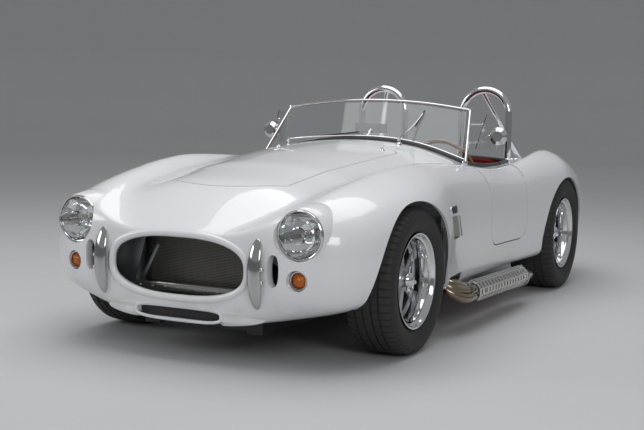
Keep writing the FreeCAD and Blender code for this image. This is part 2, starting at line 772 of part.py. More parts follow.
# Rear axle: the final drive between the rails, half-shafts, hub carriers and their lower arms
rear_axis = size("rear_tyre_radius")
rear_hub_face = size("rear_wheel_face") - REAR_DISH - 60 - close
drive = span(-105, 105, wheelbase - 120, wheelbase + 110, rail_top + close, rear_axis + 95)
nose_piece = Part.makeCylinder(48, 150, at(0, wheelbase - 260, rear_axis), BACK)
rear_parts = [nose_piece]
for side in (-1, 1):
    out = Vector(side, 0, 0)
    rear_parts.append(Part.makeCylinder(19, rear_hub_face - 90, at(side * 90, wheelbase, rear_axis), out))
    rear_parts.append(Part.makeCylinder(58, 60, at(side * (rear_hub_face - 60), wheelbase, rear_axis), out))
    carrier_x = rear_hub_face - 60 - 40
    left = min(side * carrier_x, side * (carrier_x + 46))
    rear_parts.append(span(left, left + 46, wheelbase - 60, wheelbase + 60, rear_axis - 130, rear_axis + 75))
    for way in (-1, 1):
        pivot = at(side * (rail_outer + 19 + close), wheelbase + way * 120, rail_top - 50)
        rear_parts.append(bar(pivot, at(side * (carrier_x + 20), wheelbase + way * 30, rear_axis - 105), 12))
        rear_parts.append(Part.makeCylinder(19, 56, pivot - BACK * 28, BACK))
keep("rear_axle", drive.multiFuse(rear_parts))

# Engine as one plain block, and the radiator behind the mouth
block = primitive("Box", "EngineBlock", {"Length": "430", "Width": "640", "Height": "370"},
                  ("-215", "-15 + " + SHIFT, RAIL_TOP + " - 20 + Sizes.seat_gap"))
own("engine_block", block)
core = primitive("Box", "RadiatorCore", {"Length": "560", "Width": "60", "Height": "330"},
                 ("-280", "-Sizes.rail_front + 12 + " + SHIFT, RAIL_TOP + " + Sizes.seat_gap"))
own("radiator", core)

# Cockpit: tunnel, dashboard, seats, steering
floor_top = size("floor_top")
tunnel = rounded_prism([at(-115, firewall + skin + 1, floor_top + close), at(115, firewall + skin + 1, floor_top + close),
                        at(115, firewall + skin + 1, floor_top + 190), at(-115, firewall + skin + 1, floor_top + 190)],
                       [0, 0, 50, 50], BACK * 1080)
keep("tunnel", tunnel)
dash = lofted(inset_net(net, skin + close)).common(span(-585, 585, 1088, 1110, 600, TALL))


def seat(side):
    """A soft bucket: a base on the floor and a back that leans to the rear."""
    left = side * 360 - 212
    low = floor_top + close
    base = rounded_prism([at(left, 1400, low), at(left, 1862, low), at(left, 1862, low + 120),
                          at(left, 1400, low + 170)], [15, 15, 15, 45], LEFT * 410)
    back = rounded_prism([at(left, 1730, low + 60), at(left, 1845, low + 60), at(left, 1853, 740),
                          at(left, 1790, 748)], [10, 10, 30, 30], LEFT * 410)
    return base.fuse(back).removeSplitter()


keep("seat_left", seat(1))
keep("seat_right", seat(-1))
column_tilt = math.radians(20)
column_way = Vector(0, math.cos(column_tilt), math.sin(column_tilt))
wheel_centre = at(360, 1390, 725)
hub_half = 16
steering_hub = Part.makeCylinder(32, 2 * hub_half, wheel_centre - column_way * hub_half, column_way)
steering_rim = Part.makeTorus(185, 13, wheel_centre + column_way * 10, column_way)
spokes = [bar(wheel_centre, wheel_centre + column_way * 8 + way * 180, 7)
          for way in (LEFT, LEFT * -1, LEFT.cross(column_way) * -1)]
steering_wheel = steering_hub.multiFuse([steering_rim] + spokes)
keep("steering_wheel", steering_wheel)
column = bar(wheel_centre - column_way * 520, wheel_centre - column_way * (hub_half + close), 19)
column_hole = bar(wheel_centre - column_way * 520, wheel_centre, 19 + close)
keep("dashboard", dash.cut(column_hole))
keep("steering_column", column)

# Windscreen: a frame of square bar round curved glass, leaning back from the scuttle
screen_lean = Vector(0, size("screen_lean"), 1)
screen_low = 700
screen_half = size("screen_base_half_width")
screen_bow = size("screen_bow")


def screen_sheet(front, back):
    """A bowed sheet between two distances behind the glass's front face."""
    base = size("screen_base_station") - (size("screen_base_height") - screen_low) * screen_lean.y
    reach = screen_half + 60
    edge = screen_bow * ((reach / screen_half) ** 2 - 1)
    front_arc = [at(-reach, base + edge + front, screen_low), at(0, base - screen_bow + front, screen_low),
                 at(reach, base + edge + front, screen_low)]
    back_arc = [point + BACK * (back - front) for point in front_arc]
    edges = [Part.Arc(*front_arc).toShape(), Part.LineSegment(front_arc[2], back_arc[2]).toShape(),
             Part.Arc(*back_arc[::-1]).toShape(), Part.LineSegment(back_arc[0], front_arc[0]).toShape()]
    return Part.Face(Part.Wire(edges)).extrude(screen_lean * 500)


def screen_outline(inset):
    top_half = size("screen_top_half_width") - inset
    low_half = screen_half + (screen_half - size("screen_top_half_width")) * .3 - inset
    top = size("screen_corner_height") - inset
    middle = size("screen_top_height") - inset
    points = [at(-low_half, 800, screen_low), at(low_half, 800, screen_low), at(top_half, 800, top),
              (at(0, 800, middle), at(-top_half, 800, top))]
    return prism(points, BACK * 800)


bar_wide = 20
on_body = lofted(inset_net(net, -close))
above_body = lofted(inset_net(net, -22))
frame_sheet = screen_sheet(-8, 12)
screen_ring = frame_sheet.common(screen_outline(0)).cut(screen_outline(bar_wide))
screen_foot = frame_sheet.common(screen_outline(0)).common(above_body)
screen_frame = screen_ring.fuse(screen_foot).cut(on_body)
screen_frame = max(screen_frame.Solids, key=lambda solid: solid.Volume)
glass = screen_sheet(0, 6).common(screen_outline(bar_wide + close)).cut(lofted(inset_net(net, -22 - close)))
glass = max(glass.Solids, key=lambda solid: solid.Volume)
keep("windscreen_glass", glass)

# Clear side wings clipped to the screen's posts, with round mirrors outboard of them
wing_angle = math.radians(9)
wing_way = Vector(math.sin(wing_angle), math.cos(wing_angle), 0)
wing_across = Vector(math.cos(wing_angle), -math.sin(wing_angle), 0)
wing_root = at(614, 1150, 0)


def wing_point(along, z, across=0):
    return wing_root + wing_way * along + wing_across * across + UP * z


def wing_slab(low, high, points):
    """A flat piece in the wing's own plane, between two distances outboard of its inner face."""
    return prism([wing_point(along, z, low) for along, z in points], wing_across * (high - low))


wing = wing_slab(0, 5, [(38, 872), (275, 862), (290, 985), (262, 1048), (150, 1056), (140, 1040)])
wing_room = wing_slab(-close, 5 + close, [(0, 800), (350, 800), (350, 1100), (0, 1100)])
clips = []
for z in (905, 1000):
    post_along = (z - size("screen_base_height")) * size("screen_lean")
    post = at(size("screen_base_half_width") - 16 - (z - 789) * .19, size("screen_base_station") + post_along, z)
    clip = bar(post, wing_point(post_along - 30, z + 2, 3), 7).cut(wing_room)
    clips.append(max(clip.Solids, key=lambda solid: solid.Volume))
keep("windscreen_frame", screen_frame.multiFuse(clips + [mirrored(clip) for clip in clips]))
keep("wind_wings", both_sides(wing))
mirror_centre = wing_point(178, 940, 62)
mirror_head = Part.makeCylinder(48, 16, mirror_centre, BACK).fuse(
    Part.makeCone(28, 48, 16, mirror_centre - BACK * 16, BACK))
mirror_stalk = bar(mirror_centre + BACK * 4, wing_point(178, 940, 2), 7).cut(wing_room)
mirror_stalk = max(mirror_stalk.Solids, key=lambda solid: solid.Volume)
keep("side_mirrors", both_sides(mirror_head.fuse(mirror_stalk)))
glass_room = lofted(inset_net(net, -22 - close))
mirror_arm = bar(at(0, 1131, 900), at(0, 1205, 962), 5).cut(glass_room)
mirror_arm = max(mirror_arm.Solids, key=lambda solid: solid.BoundBox.ZMax)
keep("rear_view_mirror", span(-95, 95, 1200, 1212, 940, 990).fuse(mirror_arm))

# Roll hoops behind the cockpit, each with a stay to the rear deck
hoop_radius = size("hoop_tube") / 2
hoop_inner = size("hoop_centre") - size("hoop_spread") / 2
hoop_outer = size("hoop_centre") + size("hoop_spread") / 2
hoop_line = size("hoop_top") - hoop_radius
hoop = tube([at(hoop_inner, size("hoop_station"), 740), at(hoop_inner, size("hoop_station"), hoop_line),
             at(hoop_outer, size("hoop_station"), hoop_line), at(hoop_outer, size("hoop_station"), 740)],
            hoop_radius, size("hoop_spread") / 2 - .5)
stay = bar(at(size("hoop_centre") - 20, size("hoop_station"), hoop_line), at(500, 2440, 740), 17)
hoop = hoop.fuse(stay).cut(on_body)
hoop = max(hoop.Solids, key=lambda solid: solid.Volume)
keep("roll_hoop_left", hoop)
keep("roll_hoop_right", mirrored(hoop))

# Lamps: bright rims in the wings, with glass inside them
lamp_x = size("headlamp_offset")
lamp_z = size("headlamp_height")
lamp_radius = size("headlamp_diameter") / 2


def lamp(x, z, radius, face, depth, rim_wide):
    """A rim ring and its lens; the ring's front edge stands at the face's station."""
    tube_ring = Part.makeCylinder(radius, depth, at(x, face, z), BACK)
    tube_ring = tube_ring.cut(Part.makeCylinder(radius - rim_wide, depth, at(x, face, z), BACK))
    lens = Part.makeCylinder(radius - rim_wide - close, 10, at(x, face + 6, z), BACK)
    return tube_ring, lens


head_rim, head_lens = lamp(lamp_x, lamp_z, lamp_radius, -640, 150, 12)
keep("headlamp_rims", both_sides(head_rim))
keep("headlamp_lenses", both_sides(head_lens))
small_rim, small_lens = lamp(lamp_x, size("indicator_height"), size("indicator_diameter") / 2, -632, 110, 5)
keep("indicator_rims", both_sides(small_rim))
keep("indicator_lenses", both_sides(small_lens))
tail_lamp = Part.makeCylinder(size("tail_lamp_diameter") / 2, 120,
                              at(size("tail_lamp_offset"), wheelbase + 770, size("tail_lamp_height")), BACK)
keep("tail_lamps", both_sides(tail_lamp))


# Overriders: bright upright blades on two stubs each
def overrider(x, face, z_low, z_high, way, depth):
    half = 24
    front = face
    back = face + way * 26
    corners = [at(x - half, front, z_low), at(x - half, front, z_high), at(x - half, back, z_high),
               at(x - half, back, z_low)]
    blade = rounded_prism(corners, [12, 12, 12, 12], LEFT * 2 * half)
    for z in (z_low + 70, z_high - 70):
        blade = blade.fuse(bar(at(x, back - way * 5, z), at(x, back + way * depth, z), 13))
    return blade


front_blade = overrider(381, front_face, 262, 552, 1, 60).cut(on_body)
front_blade = max(front_blade.Solids, key=lambda solid: solid.Volume)
keep("front_overriders", both_sides(front_blade))
rear_blade = overrider(381, rear_face, 330, 560, -1, 60).cut(on_body)
rear_blade = max(rear_blade.Solids, key=lambda solid: solid.Volume)
keep("rear_overriders", both_sides(rear_blade))

# Side pipes: four header tubes into a collector, then a silencer along the sill and its tail
pipe_x = size("pipe_offset")
pipe_z = size("pipe_height")
pipe_r = size("pipe_diameter") / 2
silencer_r = size("muffler_diameter") / 2
collector_front = 600
silencer_front = 680
silencer_back = 1440
pipe_parts = [bar(at(pipe_x, silencer_front, pipe_z), at(pipe_x, silencer_back, pipe_z), silencer_r)]
collector = Part.makeCone(46, silencer_r - 3, silencer_front - collector_front + 1,
                          at(pipe_x, collector_front, pipe_z), BACK)
pipe_parts.append(collector)
for i, (dx, dz) in enumerate(((14, 22), (20, -14), (-16, 26), (-14, -14))):
    start = at(655, 450 + 26 * i, 276 - 12 * (i % 2))
    knee = at(pipe_x + dx - 30, 500 + 12 * i, pipe_z + 44 + dz * .6)
    pipe_parts.append(tube([start, knee, at(pipe_x + dx, collector_front + 20, pipe_z + dz)], pipe_r * .8, 50))
pipe_parts.append(bar(at(pipe_x, silencer_back - 5, pipe_z), at(pipe_x, silencer_back + 150, pipe_z - 20), 30))
side_pipe = pipe_parts[0].multiFuse(pipe_parts[1:])
keep("side_pipe_left", side_pipe)
keep("side_pipe_right", mirrored(side_pipe))
shield_ring = Part.makeCylinder(silencer_r + 3, 860, at(pipe_x, 610, pipe_z), BACK)
shield_ring = shield_ring.cut(Part.makeCylinder(silencer_r + close, 860, at(pipe_x, 610, pipe_z), BACK))
shield = shield_ring.common(span(pipe_x - 10, pipe_x + 100, 680, 1440, pipe_z - 46, pipe_z + 80))
keep("heat_shields", both_sides(shield))

# Louvres in the side vents, the fuel cap and the wipers
slats = []
for i in range(5):
    slat = Part.makeBox(3, 46, 160, at(762, 385 + 34 * i, 440))
    slat.rotate(at(762, 385 + 34 * i, 440), UP, -28)
    slats.append(slat)
vent_parts = Part.Compound(slats).common(vent_hole)
keep("side_vents", both_sides(vent_parts))
cap = Part.makeCylinder(52, 60, at(-560, 2690, 740), UP).cut(on_body)
cap = max(cap.Solids, key=lambda solid: solid.Volume)
keep("fuel_cap", cap)


def finish():
    """Check every object and write each sub-part's file."""
    doc.recompute()
    for thing in doc.Objects:
        if "Invalid" in thing.State or "Error" in thing.State:
            raise RuntimeError("failed: " + thing.Label)
    os.makedirs("parts", exist_ok=True)
    for part in nodes:
        if part.Shape.isNull() or not part.Shape.isValid():
            raise RuntimeError("bad shape: " + part.Label)
        part.Shape.exportStep(os.path.join("parts", part.Label + ".step"))
    print("sub-parts", len(nodes))


finish()
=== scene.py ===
# %% [markdown]
# # An open two-seat roadster, dressed for the studio
# The solids of the car come in as a fixed frame, in metres: X is the car's left, Y is its rear and Z is up.
# Each cell dresses one group of pieces, and every new piece rides on the body that carries it.

# %% Load the frame
import math

import bmesh
import bpy
from mathutils import Matrix, Vector


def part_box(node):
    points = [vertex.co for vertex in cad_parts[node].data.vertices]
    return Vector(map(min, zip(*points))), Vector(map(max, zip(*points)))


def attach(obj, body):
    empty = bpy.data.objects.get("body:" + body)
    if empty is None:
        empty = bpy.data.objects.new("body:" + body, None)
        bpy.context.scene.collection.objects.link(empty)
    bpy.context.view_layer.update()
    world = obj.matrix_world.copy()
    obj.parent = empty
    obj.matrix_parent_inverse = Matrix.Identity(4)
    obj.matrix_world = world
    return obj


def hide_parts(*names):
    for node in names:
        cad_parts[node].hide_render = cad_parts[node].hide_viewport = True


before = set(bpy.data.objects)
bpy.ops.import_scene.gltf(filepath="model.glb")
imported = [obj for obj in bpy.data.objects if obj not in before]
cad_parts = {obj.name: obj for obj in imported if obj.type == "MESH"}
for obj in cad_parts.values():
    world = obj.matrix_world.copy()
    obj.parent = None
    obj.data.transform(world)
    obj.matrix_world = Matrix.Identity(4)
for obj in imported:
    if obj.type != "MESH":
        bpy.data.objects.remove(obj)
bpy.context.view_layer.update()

scene = bpy.context.scene

# %% [markdown]
# Distances along the car are easier to think of from the front axle, so one small function turns such a
# station into frame coordinates.

# %% Where the axles are
FRONT_AXLE = -1.26
WHEELBASE = 2.286
LEFT, REAR, UP = Vector((1, 0, 0)), Vector((0, 1, 0)), Vector((0, 0, 1))
FORWARD = Vector((0, -1, 0))
SIDES = (1, "left"), (-1, "right")


def at(x, station, z):
    """A point given across the car, behind the front axle, and above the ground."""
    return Vector((x, station + FRONT_AXLE, z))


# %% [markdown]
# The photographer stood low in front of the left wing with a long lens, so the near wheel is large and the
# car's lines stay nearly parallel. The focal length is given for a sensor 36 mm wide.

# %% Camera
camera_data = bpy.data.cameras.new("camera")
camera_data.lens = 64.07
camera_data.sensor_width = 36
camera = bpy.data.objects.new("camera", camera_data)
scene.collection.objects.link(camera)
yaw, pitch, roll = .46958269, -.09472927, .02006091
forward = Vector((-math.sin(yaw) * math.cos(pitch), math.cos(yaw) * math.cos(pitch), math.sin(pitch)))
level = Vector((math.cos(yaw), math.sin(yaw), 0))
right = level * math.cos(roll) + level.cross(forward) * math.sin(roll)
turned = Matrix((right, right.cross(forward), -forward)).transposed().to_4x4()
camera.matrix_world = Matrix.Translation(at(2.666218, -4.632597, 1.083579)) @ turned
scene.camera = camera
print("camera at", tuple(round(value, 3) for value in camera.location))

# %% [markdown]
# Shader sums read best as ordinary sums. `Wire` wraps a socket, and adding or multiplying wires adds the
# Math nodes. `Finish` is a material being built, and its one method `add` makes any other node.

# %% Shader helpers
class Wire:
    """A shader socket that can be used in a sum."""

    def __init__(self, finish, socket):
        self.finish = finish
        self.socket = socket

    def maths(self, operation, *others):
        return self.finish.add("ShaderNodeMath", {"operation": operation}, dict(enumerate((self,) + others)))

    def __add__(self, other):
        return self.maths("ADD", other)

    def __mul__(self, other):
        return self.maths("MULTIPLY", other)

    def __sub__(self, other):
        return self.maths("SUBTRACT", other)

    def __rsub__(self, other):
        return (self * -1) + other

    def __gt__(self, other):
        return self.maths("GREATER_THAN", other)

    def __lt__(self, other):
        return self.maths("LESS_THAN", other)

    __radd__ = __add__
    __rmul__ = __mul__

    def output(self, name):
        return Wire(self.finish, self.socket.node.outputs[name])

    def parts(self):
        """The three numbers of a vector."""
        split = self.finish.add("ShaderNodeSeparateXYZ", {}, {0: self})
        return [split.output(axis) for axis in "XYZ"]


class Finish:
    """A material made from nodes."""

    def __init__(self, name):
        self.material = bpy.data.materials.new(name)
        self.material.use_nodes = True
        self.tree = self.material.node_tree
        self.tree.nodes.clear()
        self.place = self.add("ShaderNodeTexCoord").output("Object")

    def add(self, kind, settings=None, sockets=None):
        node = self.tree.nodes.new(kind)
        for key, value in (settings or {}).items():
            if key == "stops":
                while len(node.color_ramp.elements) < len(value):
                    node.color_ramp.elements.new(.5)
                for element, (position, colour) in zip(node.color_ramp.elements, value):
                    element.position = position
                    element.color = (*colour, 1)
            else:
                setattr(node, key, value)
        for key, value in (sockets or {}).items():
            socket = node.inputs[key] if isinstance(key, int) else \
                next(item for item in node.inputs if item.enabled and item.name == key)
            if isinstance(value, Wire):
                self.tree.links.new(value.socket, socket)
            else:
                socket.default_value = (*value, 1) if socket.type == "RGBA" and len(value) == 3 else value
        return Wire(self, next((item for item in node.outputs if item.enabled), None)) if node.outputs else None

    def noise(self, scale, detail=2, stretch=None):
        vector = self.place if stretch is None else self.stretched(stretch)
        return self.add("ShaderNodeTexNoise", {}, {"Vector": vector, "Scale": scale, "Detail": detail})

    def stretched(self, scale):
        return self.add("ShaderNodeVectorMath", {"operation": "MULTIPLY"}, {0: self.place, 1: scale})

    def ramp(self, value, low, high):
        """0 below `low` and 1 above `high`, with a soft step between them."""
        return self.add("ShaderNodeMapRange", {"interpolation_type": "SMOOTHSTEP"},
                        {"Value": value, "From Min": low, "From Max": high})

    def mix(self, factor, first, second):
        return self.add("ShaderNodeMix", {"data_type": "RGBA"}, {"Factor": factor, "A": first, "B": second})

    def bump(self, height, distance, strength=1):
        return self.add("ShaderNodeBump", {}, {"Height": height, "Distance": distance, "Strength": strength})

    def done(self, **sockets):
        """Closes the material with one surface shader; names are the shader's own with _ for a space."""
        named = {key.replace("_", " ").replace("Ior", "IOR"): value for key, value in sockets.items()}
        surface = self.add("ShaderNodeBsdfPrincipled", {}, named)
        self.add("ShaderNodeOutputMaterial", {}, {"Surface": surface})
        return self.material


# %% [markdown]
# ## Finishes
# White two-pack paint is a pale base under a clear coat. The coat is nearly smooth, with a faint ripple, and
# road dust gathers along the sills. The same solid is also the inside of the cockpit, where the floor is
# carpeted and the walls are trimmed, so a mask by place picks carpet there.

# %% White paint
def carpet_pile(finish):
    return finish.noise(900, 3)


paint = Finish("white_paint")
x, y, z = paint.place.parts()
normal_up = paint.add("ShaderNodeNewGeometry").output("Normal").parts()[2]
COCKPIT_HALF, COCKPIT_FRONT, COCKPIT_REAR, COCKPIT_TOP = .6425, -.478, .80, .7
inside = (x.maths("ABSOLUTE") < COCKPIT_HALF) * (y > COCKPIT_FRONT) * (y < COCKPIT_REAR)
inside = inside * ((normal_up < .3) + (z < COCKPIT_TOP)).maths("MINIMUM", 1)
flake = paint.noise(3, 2)
dust = paint.ramp(z, .36, .17) * paint.ramp(paint.noise(14, 4), .35, .75) * .35
pile = carpet_pile(paint)
body_white = paint.mix(flake * .12, (.80, .81, .83), (.75, .76, .79))
body_white = paint.mix(dust, body_white, (.42, .40, .37))
carpet_red = paint.mix(pile, (.16, .006, .008), (.34, .018, .02))
colour = paint.mix(inside, body_white, carpet_red)
ripple = paint.bump(paint.noise(260, 1), .00012, .25)
trim_bump = paint.bump(pile, .0025, .8)
normal = paint.add("ShaderNodeMix", {"data_type": "VECTOR"}, {"Factor": inside, "A": ripple, "B": trim_bump})
white_paint = paint.done(Base_Color=colour, Roughness=inside * .62 + dust * .4 + .3, Normal=normal,
                         Coat_Weight=(1 - inside) * (1 - dust), Coat_Roughness=.03, Coat_IOR=1.5)

# %% [markdown]
# Chrome plate reflects everything, so it needs only faint smears in its gloss. Cast and painted steel are
# rougher and show grain. One function makes such metals, with their tone, gloss and grain as values.

# %% Metals
def metal(name, tone, gloss, grain, depth, metallic=1.0, grain_share=.08):
    finish = Finish(name)
    smear = finish.noise(7, 3)
    fine = finish.noise(grain, 3)
    darker = tuple(value * .78 for value in tone)
    colour = finish.mix(finish.ramp(smear, .3, .7) * .5 + fine * .2, tone, darker)
    return finish.done(Base_Color=colour, Roughness=smear * grain_share + gloss, Metallic=metallic,
                       Normal=finish.bump(fine, depth, .5))


chrome = metal("chrome", (.78, .79, .80), .04, 40, .00002)
dark_chrome = metal("dark_chrome", (.56, .56, .56), .07, 60, .00002)
worn_chrome = metal("worn_chrome", (.66, .65, .62), .12, 300, .00003, grain_share=.14)
brushed_aluminium = metal("brushed_aluminium", (.60, .61, .62), .26, 500, .00006)
cast_alloy = metal("cast_alloy", (.30, .31, .32), .42, 700, .00025, grain_share=.1)
spoke_alloy = metal("spoke_alloy", (.47, .48, .50), .24, 500, .0001, grain_share=.1)
cast_iron = metal("cast_iron", (.10, .10, .11), .62, 500, .0004, metallic=.6)
black_steel = metal("black_steel", (.025, .025, .027), .42, 300, .00015, metallic=.1)
mirror_silver = metal("mirror_silver", (.90, .91, .92), .03, 60, .00001, grain_share=.03)
radiator_fin = metal("radiator_fin", (.34, .33, .30), .45, 400, .0001, metallic=.8)
# The solid radiator block shows between the fin bars. Its near-black colour is painted shade for the dark depth of the
# open core.
radiator_painted_shade = metal("radiator_black", (.02, .02, .022), .5, 600, .0002, metallic=.2)

# %% [markdown]
# A blank number plate is enamelled sheet, a little yellowed and less glossy than the car's paint.

# %% Enamel
enamel = Finish("white_enamel")
white_enamel = enamel.done(Base_Color=enamel.mix(enamel.noise(9, 3) * .4, (.66, .66, .63), (.58, .58, .54)),
                           Roughness=enamel.noise(40, 3) * .15 + .22)

# %% [markdown]
# The header tubes have been hot: straw and brown bands of heat tint follow them from the engine side, and
# the plating is clean again along the silencer.

# %% Heat-tinted steel
tinted = Finish("heat_tinted_steel")
along = tinted.place.parts()[1] + tinted.noise(9, 3) * .12
TINT = [(0, (.26, .21, .15)), (.35, (.36, .30, .22)), (.6, (.47, .44, .38)), (1, (.58, .57, .55))]
tint = tinted.add("ShaderNodeValToRGB", {"stops": TINT}, {"Fac": tinted.ramp(along, -.80, -.40)})
heat_tinted_steel = tinted.done(Base_Color=tint, Metallic=1.0, Roughness=tinted.noise(30, 4) * .16 + .1)

# %% [markdown]
# Rubber is never quite black. The tread is dusty grey where it meets the road, and the sidewall has fine
# moulded rings, which are sines of the distance from the wheel's axis.

# %% Tyre rubber
def rubber(name, station, radius):
    finish = Finish(name)
    x, y, z = finish.place.parts()
    away = ((y - (station + FRONT_AXLE)).maths("POWER", 2) + (z - radius).maths("POWER", 2)).maths("SQRT")
    tread = finish.ramp(away, radius - .012, radius - .004)
    rings = (away * 2200).maths("SINE") * finish.ramp(away, .214, .222) * (1 - finish.ramp(away, .262, .268))
    mottle = finish.noise(30, 4)
    colour = finish.mix(tread * .6 + mottle * .3, (.014, .014, .015), (.045, .043, .04))
    height = rings * .3 + finish.noise(1400, 2) * .4
    return finish.done(Base_Color=colour, Roughness=mottle * .2 + tread * .12 + .52,
                       Normal=finish.bump(height, .0006, .7))


front_rubber = rubber("front_tyre_rubber", 0, .327)
rear_rubber = rubber("rear_tyre_rubber", WHEELBASE, .338)

# %% [markdown]
# Leather is a skin of small rounded cells with creases between them. A cell pattern gives both the height
# and a slightly darker crease; the red hide of the seats and the black hide round the cockpit share it.

# %% Leather, carpet and wood
def leather(name, tone, dark, gloss):
    finish = Finish(name)
    cells = finish.add("ShaderNodeTexVoronoi", {"feature": "DISTANCE_TO_EDGE"},
                       {"Vector": finish.place, "Scale": 420})
    crease = finish.ramp(cells, 0, .12)
    wear = finish.noise(11, 4)
    colour = finish.mix(crease * (wear * .4 + .6), dark, tone)
    height = crease * .6 + finish.noise(60, 3) * .5
    return finish.done(Base_Color=colour, Roughness=wear * .18 + gloss, Normal=finish.bump(height, .0006, .6),
                       Sheen_Weight=.08)


black_rubber = leather("black_rubber", (.022, .022, .023), (.010, .010, .011), .45)
red_leather = leather("red_leather", (.46, .012, .014), (.24, .004, .006), .36)
black_leather = leather("black_trim", (.018, .018, .019), (.006, .006, .006), .4)

vent_grey = metal("vent_grey", (.33, .32, .29), .42, 300, .0001, metallic=.5)
dial_black = metal("dial_black", (.012, .012, .013), .35, 300, .00005, metallic=0)
needle_white = metal("needle_white", (.75, .74, .70), .5, 200, .00005, metallic=0)

carpet = Finish("red_carpet")
pile = carpet_pile(carpet)
red_carpet = carpet.done(Base_Color=carpet.mix(pile, (.15, .006, .008), (.33, .016, .02)), Roughness=.95,
                         Normal=carpet.bump(pile, .003, .9), Sheen_Weight=.3)

timber = Finish("varnished_wood")
rings = timber.add("ShaderNodeTexWave", {"wave_type": "RINGS", "rings_direction": "Y"},
                   {"Vector": timber.place, "Scale": 26, "Distortion": 3.2, "Detail": 3, "Detail Scale": 3})
grain = timber.noise(240, 3, (1, .15, .15))
wood_colour = timber.mix(rings * .7 + grain * .3, (.36, .14, .035), (.13, .04, .01))
varnished_wood = timber.done(Base_Color=wood_colour, Roughness=grain * .1 + .28, Coat_Weight=1.0,
                             Coat_Roughness=.05, Normal=timber.bump(grain, .0002, .3))

# %% [markdown]
# Clear glass lets light through with a green cast at its edge. Lamp lenses are moulded with ribs, which a
# sine across them gives as a bump.

# %% Glass
def glass(name, tone, rib=0, gloss=.02, through=1.0, rib_height=.0014):
    finish = Finish(name)
    x, y, z = finish.place.parts()
    sockets = {"Base_Color": finish.mix(finish.noise(5, 2) * .2, tone, tuple(v * .93 for v in tone)),
               "Roughness": finish.noise(20, 3) * .02 + gloss, "Ior": 1.45, "Transmission_Weight": through}
    if rib:
        height = (x * rib).maths("SINE") * .7 + (z * rib * .31).maths("SINE") * .3
        sockets["Normal"] = finish.bump(height, rib_height, .8)
    return finish.done(**sockets)


clear_glass = glass("clear_glass", (.93, .97, .96))
lamp_glass = glass("headlamp_glass", (.96, .98, .98), rib=260, rib_height=.0004)
amber_glass = glass("amber_glass", (.95, .27, .02), rib=900, gloss=.08, through=.55)
red_glass = glass("red_glass", (.62, .012, .012), rib=900, gloss=.08, through=.5)

# %% [markdown]
# ## The CAD solids that stay
# Most solids already have the right shape and only need their finish. A node's object takes a material by
# its slots.

# %% Finish the kept solids
def wear_finish(node, material):
    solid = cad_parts[node]
    if not solid.material_slots:
        solid.data.materials.append(material)
    for slot in solid.material_slots:
        slot.material = material


FINISHES = [
    (white_paint, "body_shell bonnet boot_lid door_left door_right"),
    (black_steel, "chassis_frame front_suspension steering_column"),
    (cast_iron, "rear_axle knuckle_front_left knuckle_front_right engine_block"),
    # The solid radiator is near black, which is painted shade behind the fin bars.
    (radiator_painted_shade, "radiator"), (red_carpet, "tunnel"), (black_leather, "dashboard"),
    (red_leather, "seat_left seat_right"), (varnished_wood, "steering_wheel"),
    (chrome, "windscreen_frame side_mirrors rear_view_mirror roll_hoop_left roll_hoop_right headlamp_rims"),
    (chrome, "indicator_rims front_overriders rear_overriders fuel_cap"),
    (clear_glass, "windscreen_glass wind_wings"), (lamp_glass, "headlamp_lenses"),
    (amber_glass, "indicator_lenses"), (red_glass, "tail_lamps"),
    (heat_tinted_steel, "side_pipe_left side_pipe_right"), (worn_chrome, "heat_shields"),
    (front_rubber, "tyre_front_left tyre_front_right"), (rear_rubber, "tyre_rear_left tyre_rear_right"),
    (brushed_aluminium, "side_vents rim_front_left rim_front_right rim_rear_left rim_rear_right"),
]
for material, nodes in FINISHES:
    for node in nodes.split():
        wear_finish(node, material)

# %% [markdown]
# ## Modelling helpers
# Every new piece is a bmesh that operators shape. `piece` turns it into an object at the origin, gives it
# its finish and lets it ride on its body.

# %% Modelling helpers
def piece(name, mesh, material, body="car", smooth=40):
    data = bpy.data.meshes.new(name)
    bmesh.ops.recalc_face_normals(mesh, faces=mesh.faces)
    mesh.to_mesh(data)
    mesh.free()
    data.materials.append(material)
    thing = bpy.data.objects.new(name, data)
    scene.collection.objects.link(thing)
    if smooth:
        data.shade_smooth()
        data.set_sharp_from_angle(angle=math.radians(smooth))
    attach(thing, body)
    return thing


def lathe(points, centre, axis=LEFT, steps=64, closed=True, mesh=None):
    """Spins an outline of (along, radius) pairs round an axis through `centre`."""
    mesh = mesh or bmesh.new()
    aside = axis.orthogonal().normalized()
    verts = [mesh.verts.new(centre + axis * along + aside * radius) for along, radius in points]
    pairs = list(zip(verts, verts[1:])) + ([(verts[-1], verts[0])] if closed else [])
    edges = [mesh.edges.new(pair) for pair in pairs]
    bmesh.ops.spin(mesh, geom=verts + edges, cent=centre, axis=axis, angle=math.tau, steps=steps,
                   use_merge=True, use_duplicate=False)
    bmesh.ops.remove_doubles(mesh, verts=mesh.verts, dist=1e-6)
    return mesh


def block(size, centre, bevel=0, segments=2, turn=None, mesh=None, taper=None):
    """A box with rounded edges, added to `mesh` or to a new one."""
    mesh = mesh or bmesh.new()
    made = bmesh.ops.create_cube(mesh, size=1)["verts"]
    bmesh.ops.scale(mesh, vec=size, verts=made)
    if taper:
        for vert in made:
            if vert.co.z > 0:
                vert.co.x *= taper[0]
                vert.co.y *= taper[1]
    if bevel:
        edges = list({edge for vert in made for edge in vert.link_edges})
        made = bmesh.ops.bevel(mesh, geom=edges, offset=bevel, segments=segments, profile=.5, affect="EDGES",
                               material=-1)["verts"]
    place = Matrix.Translation(centre) @ (turn or Matrix.Identity(4))
    bmesh.ops.transform(mesh, matrix=place, verts=made)
    return mesh


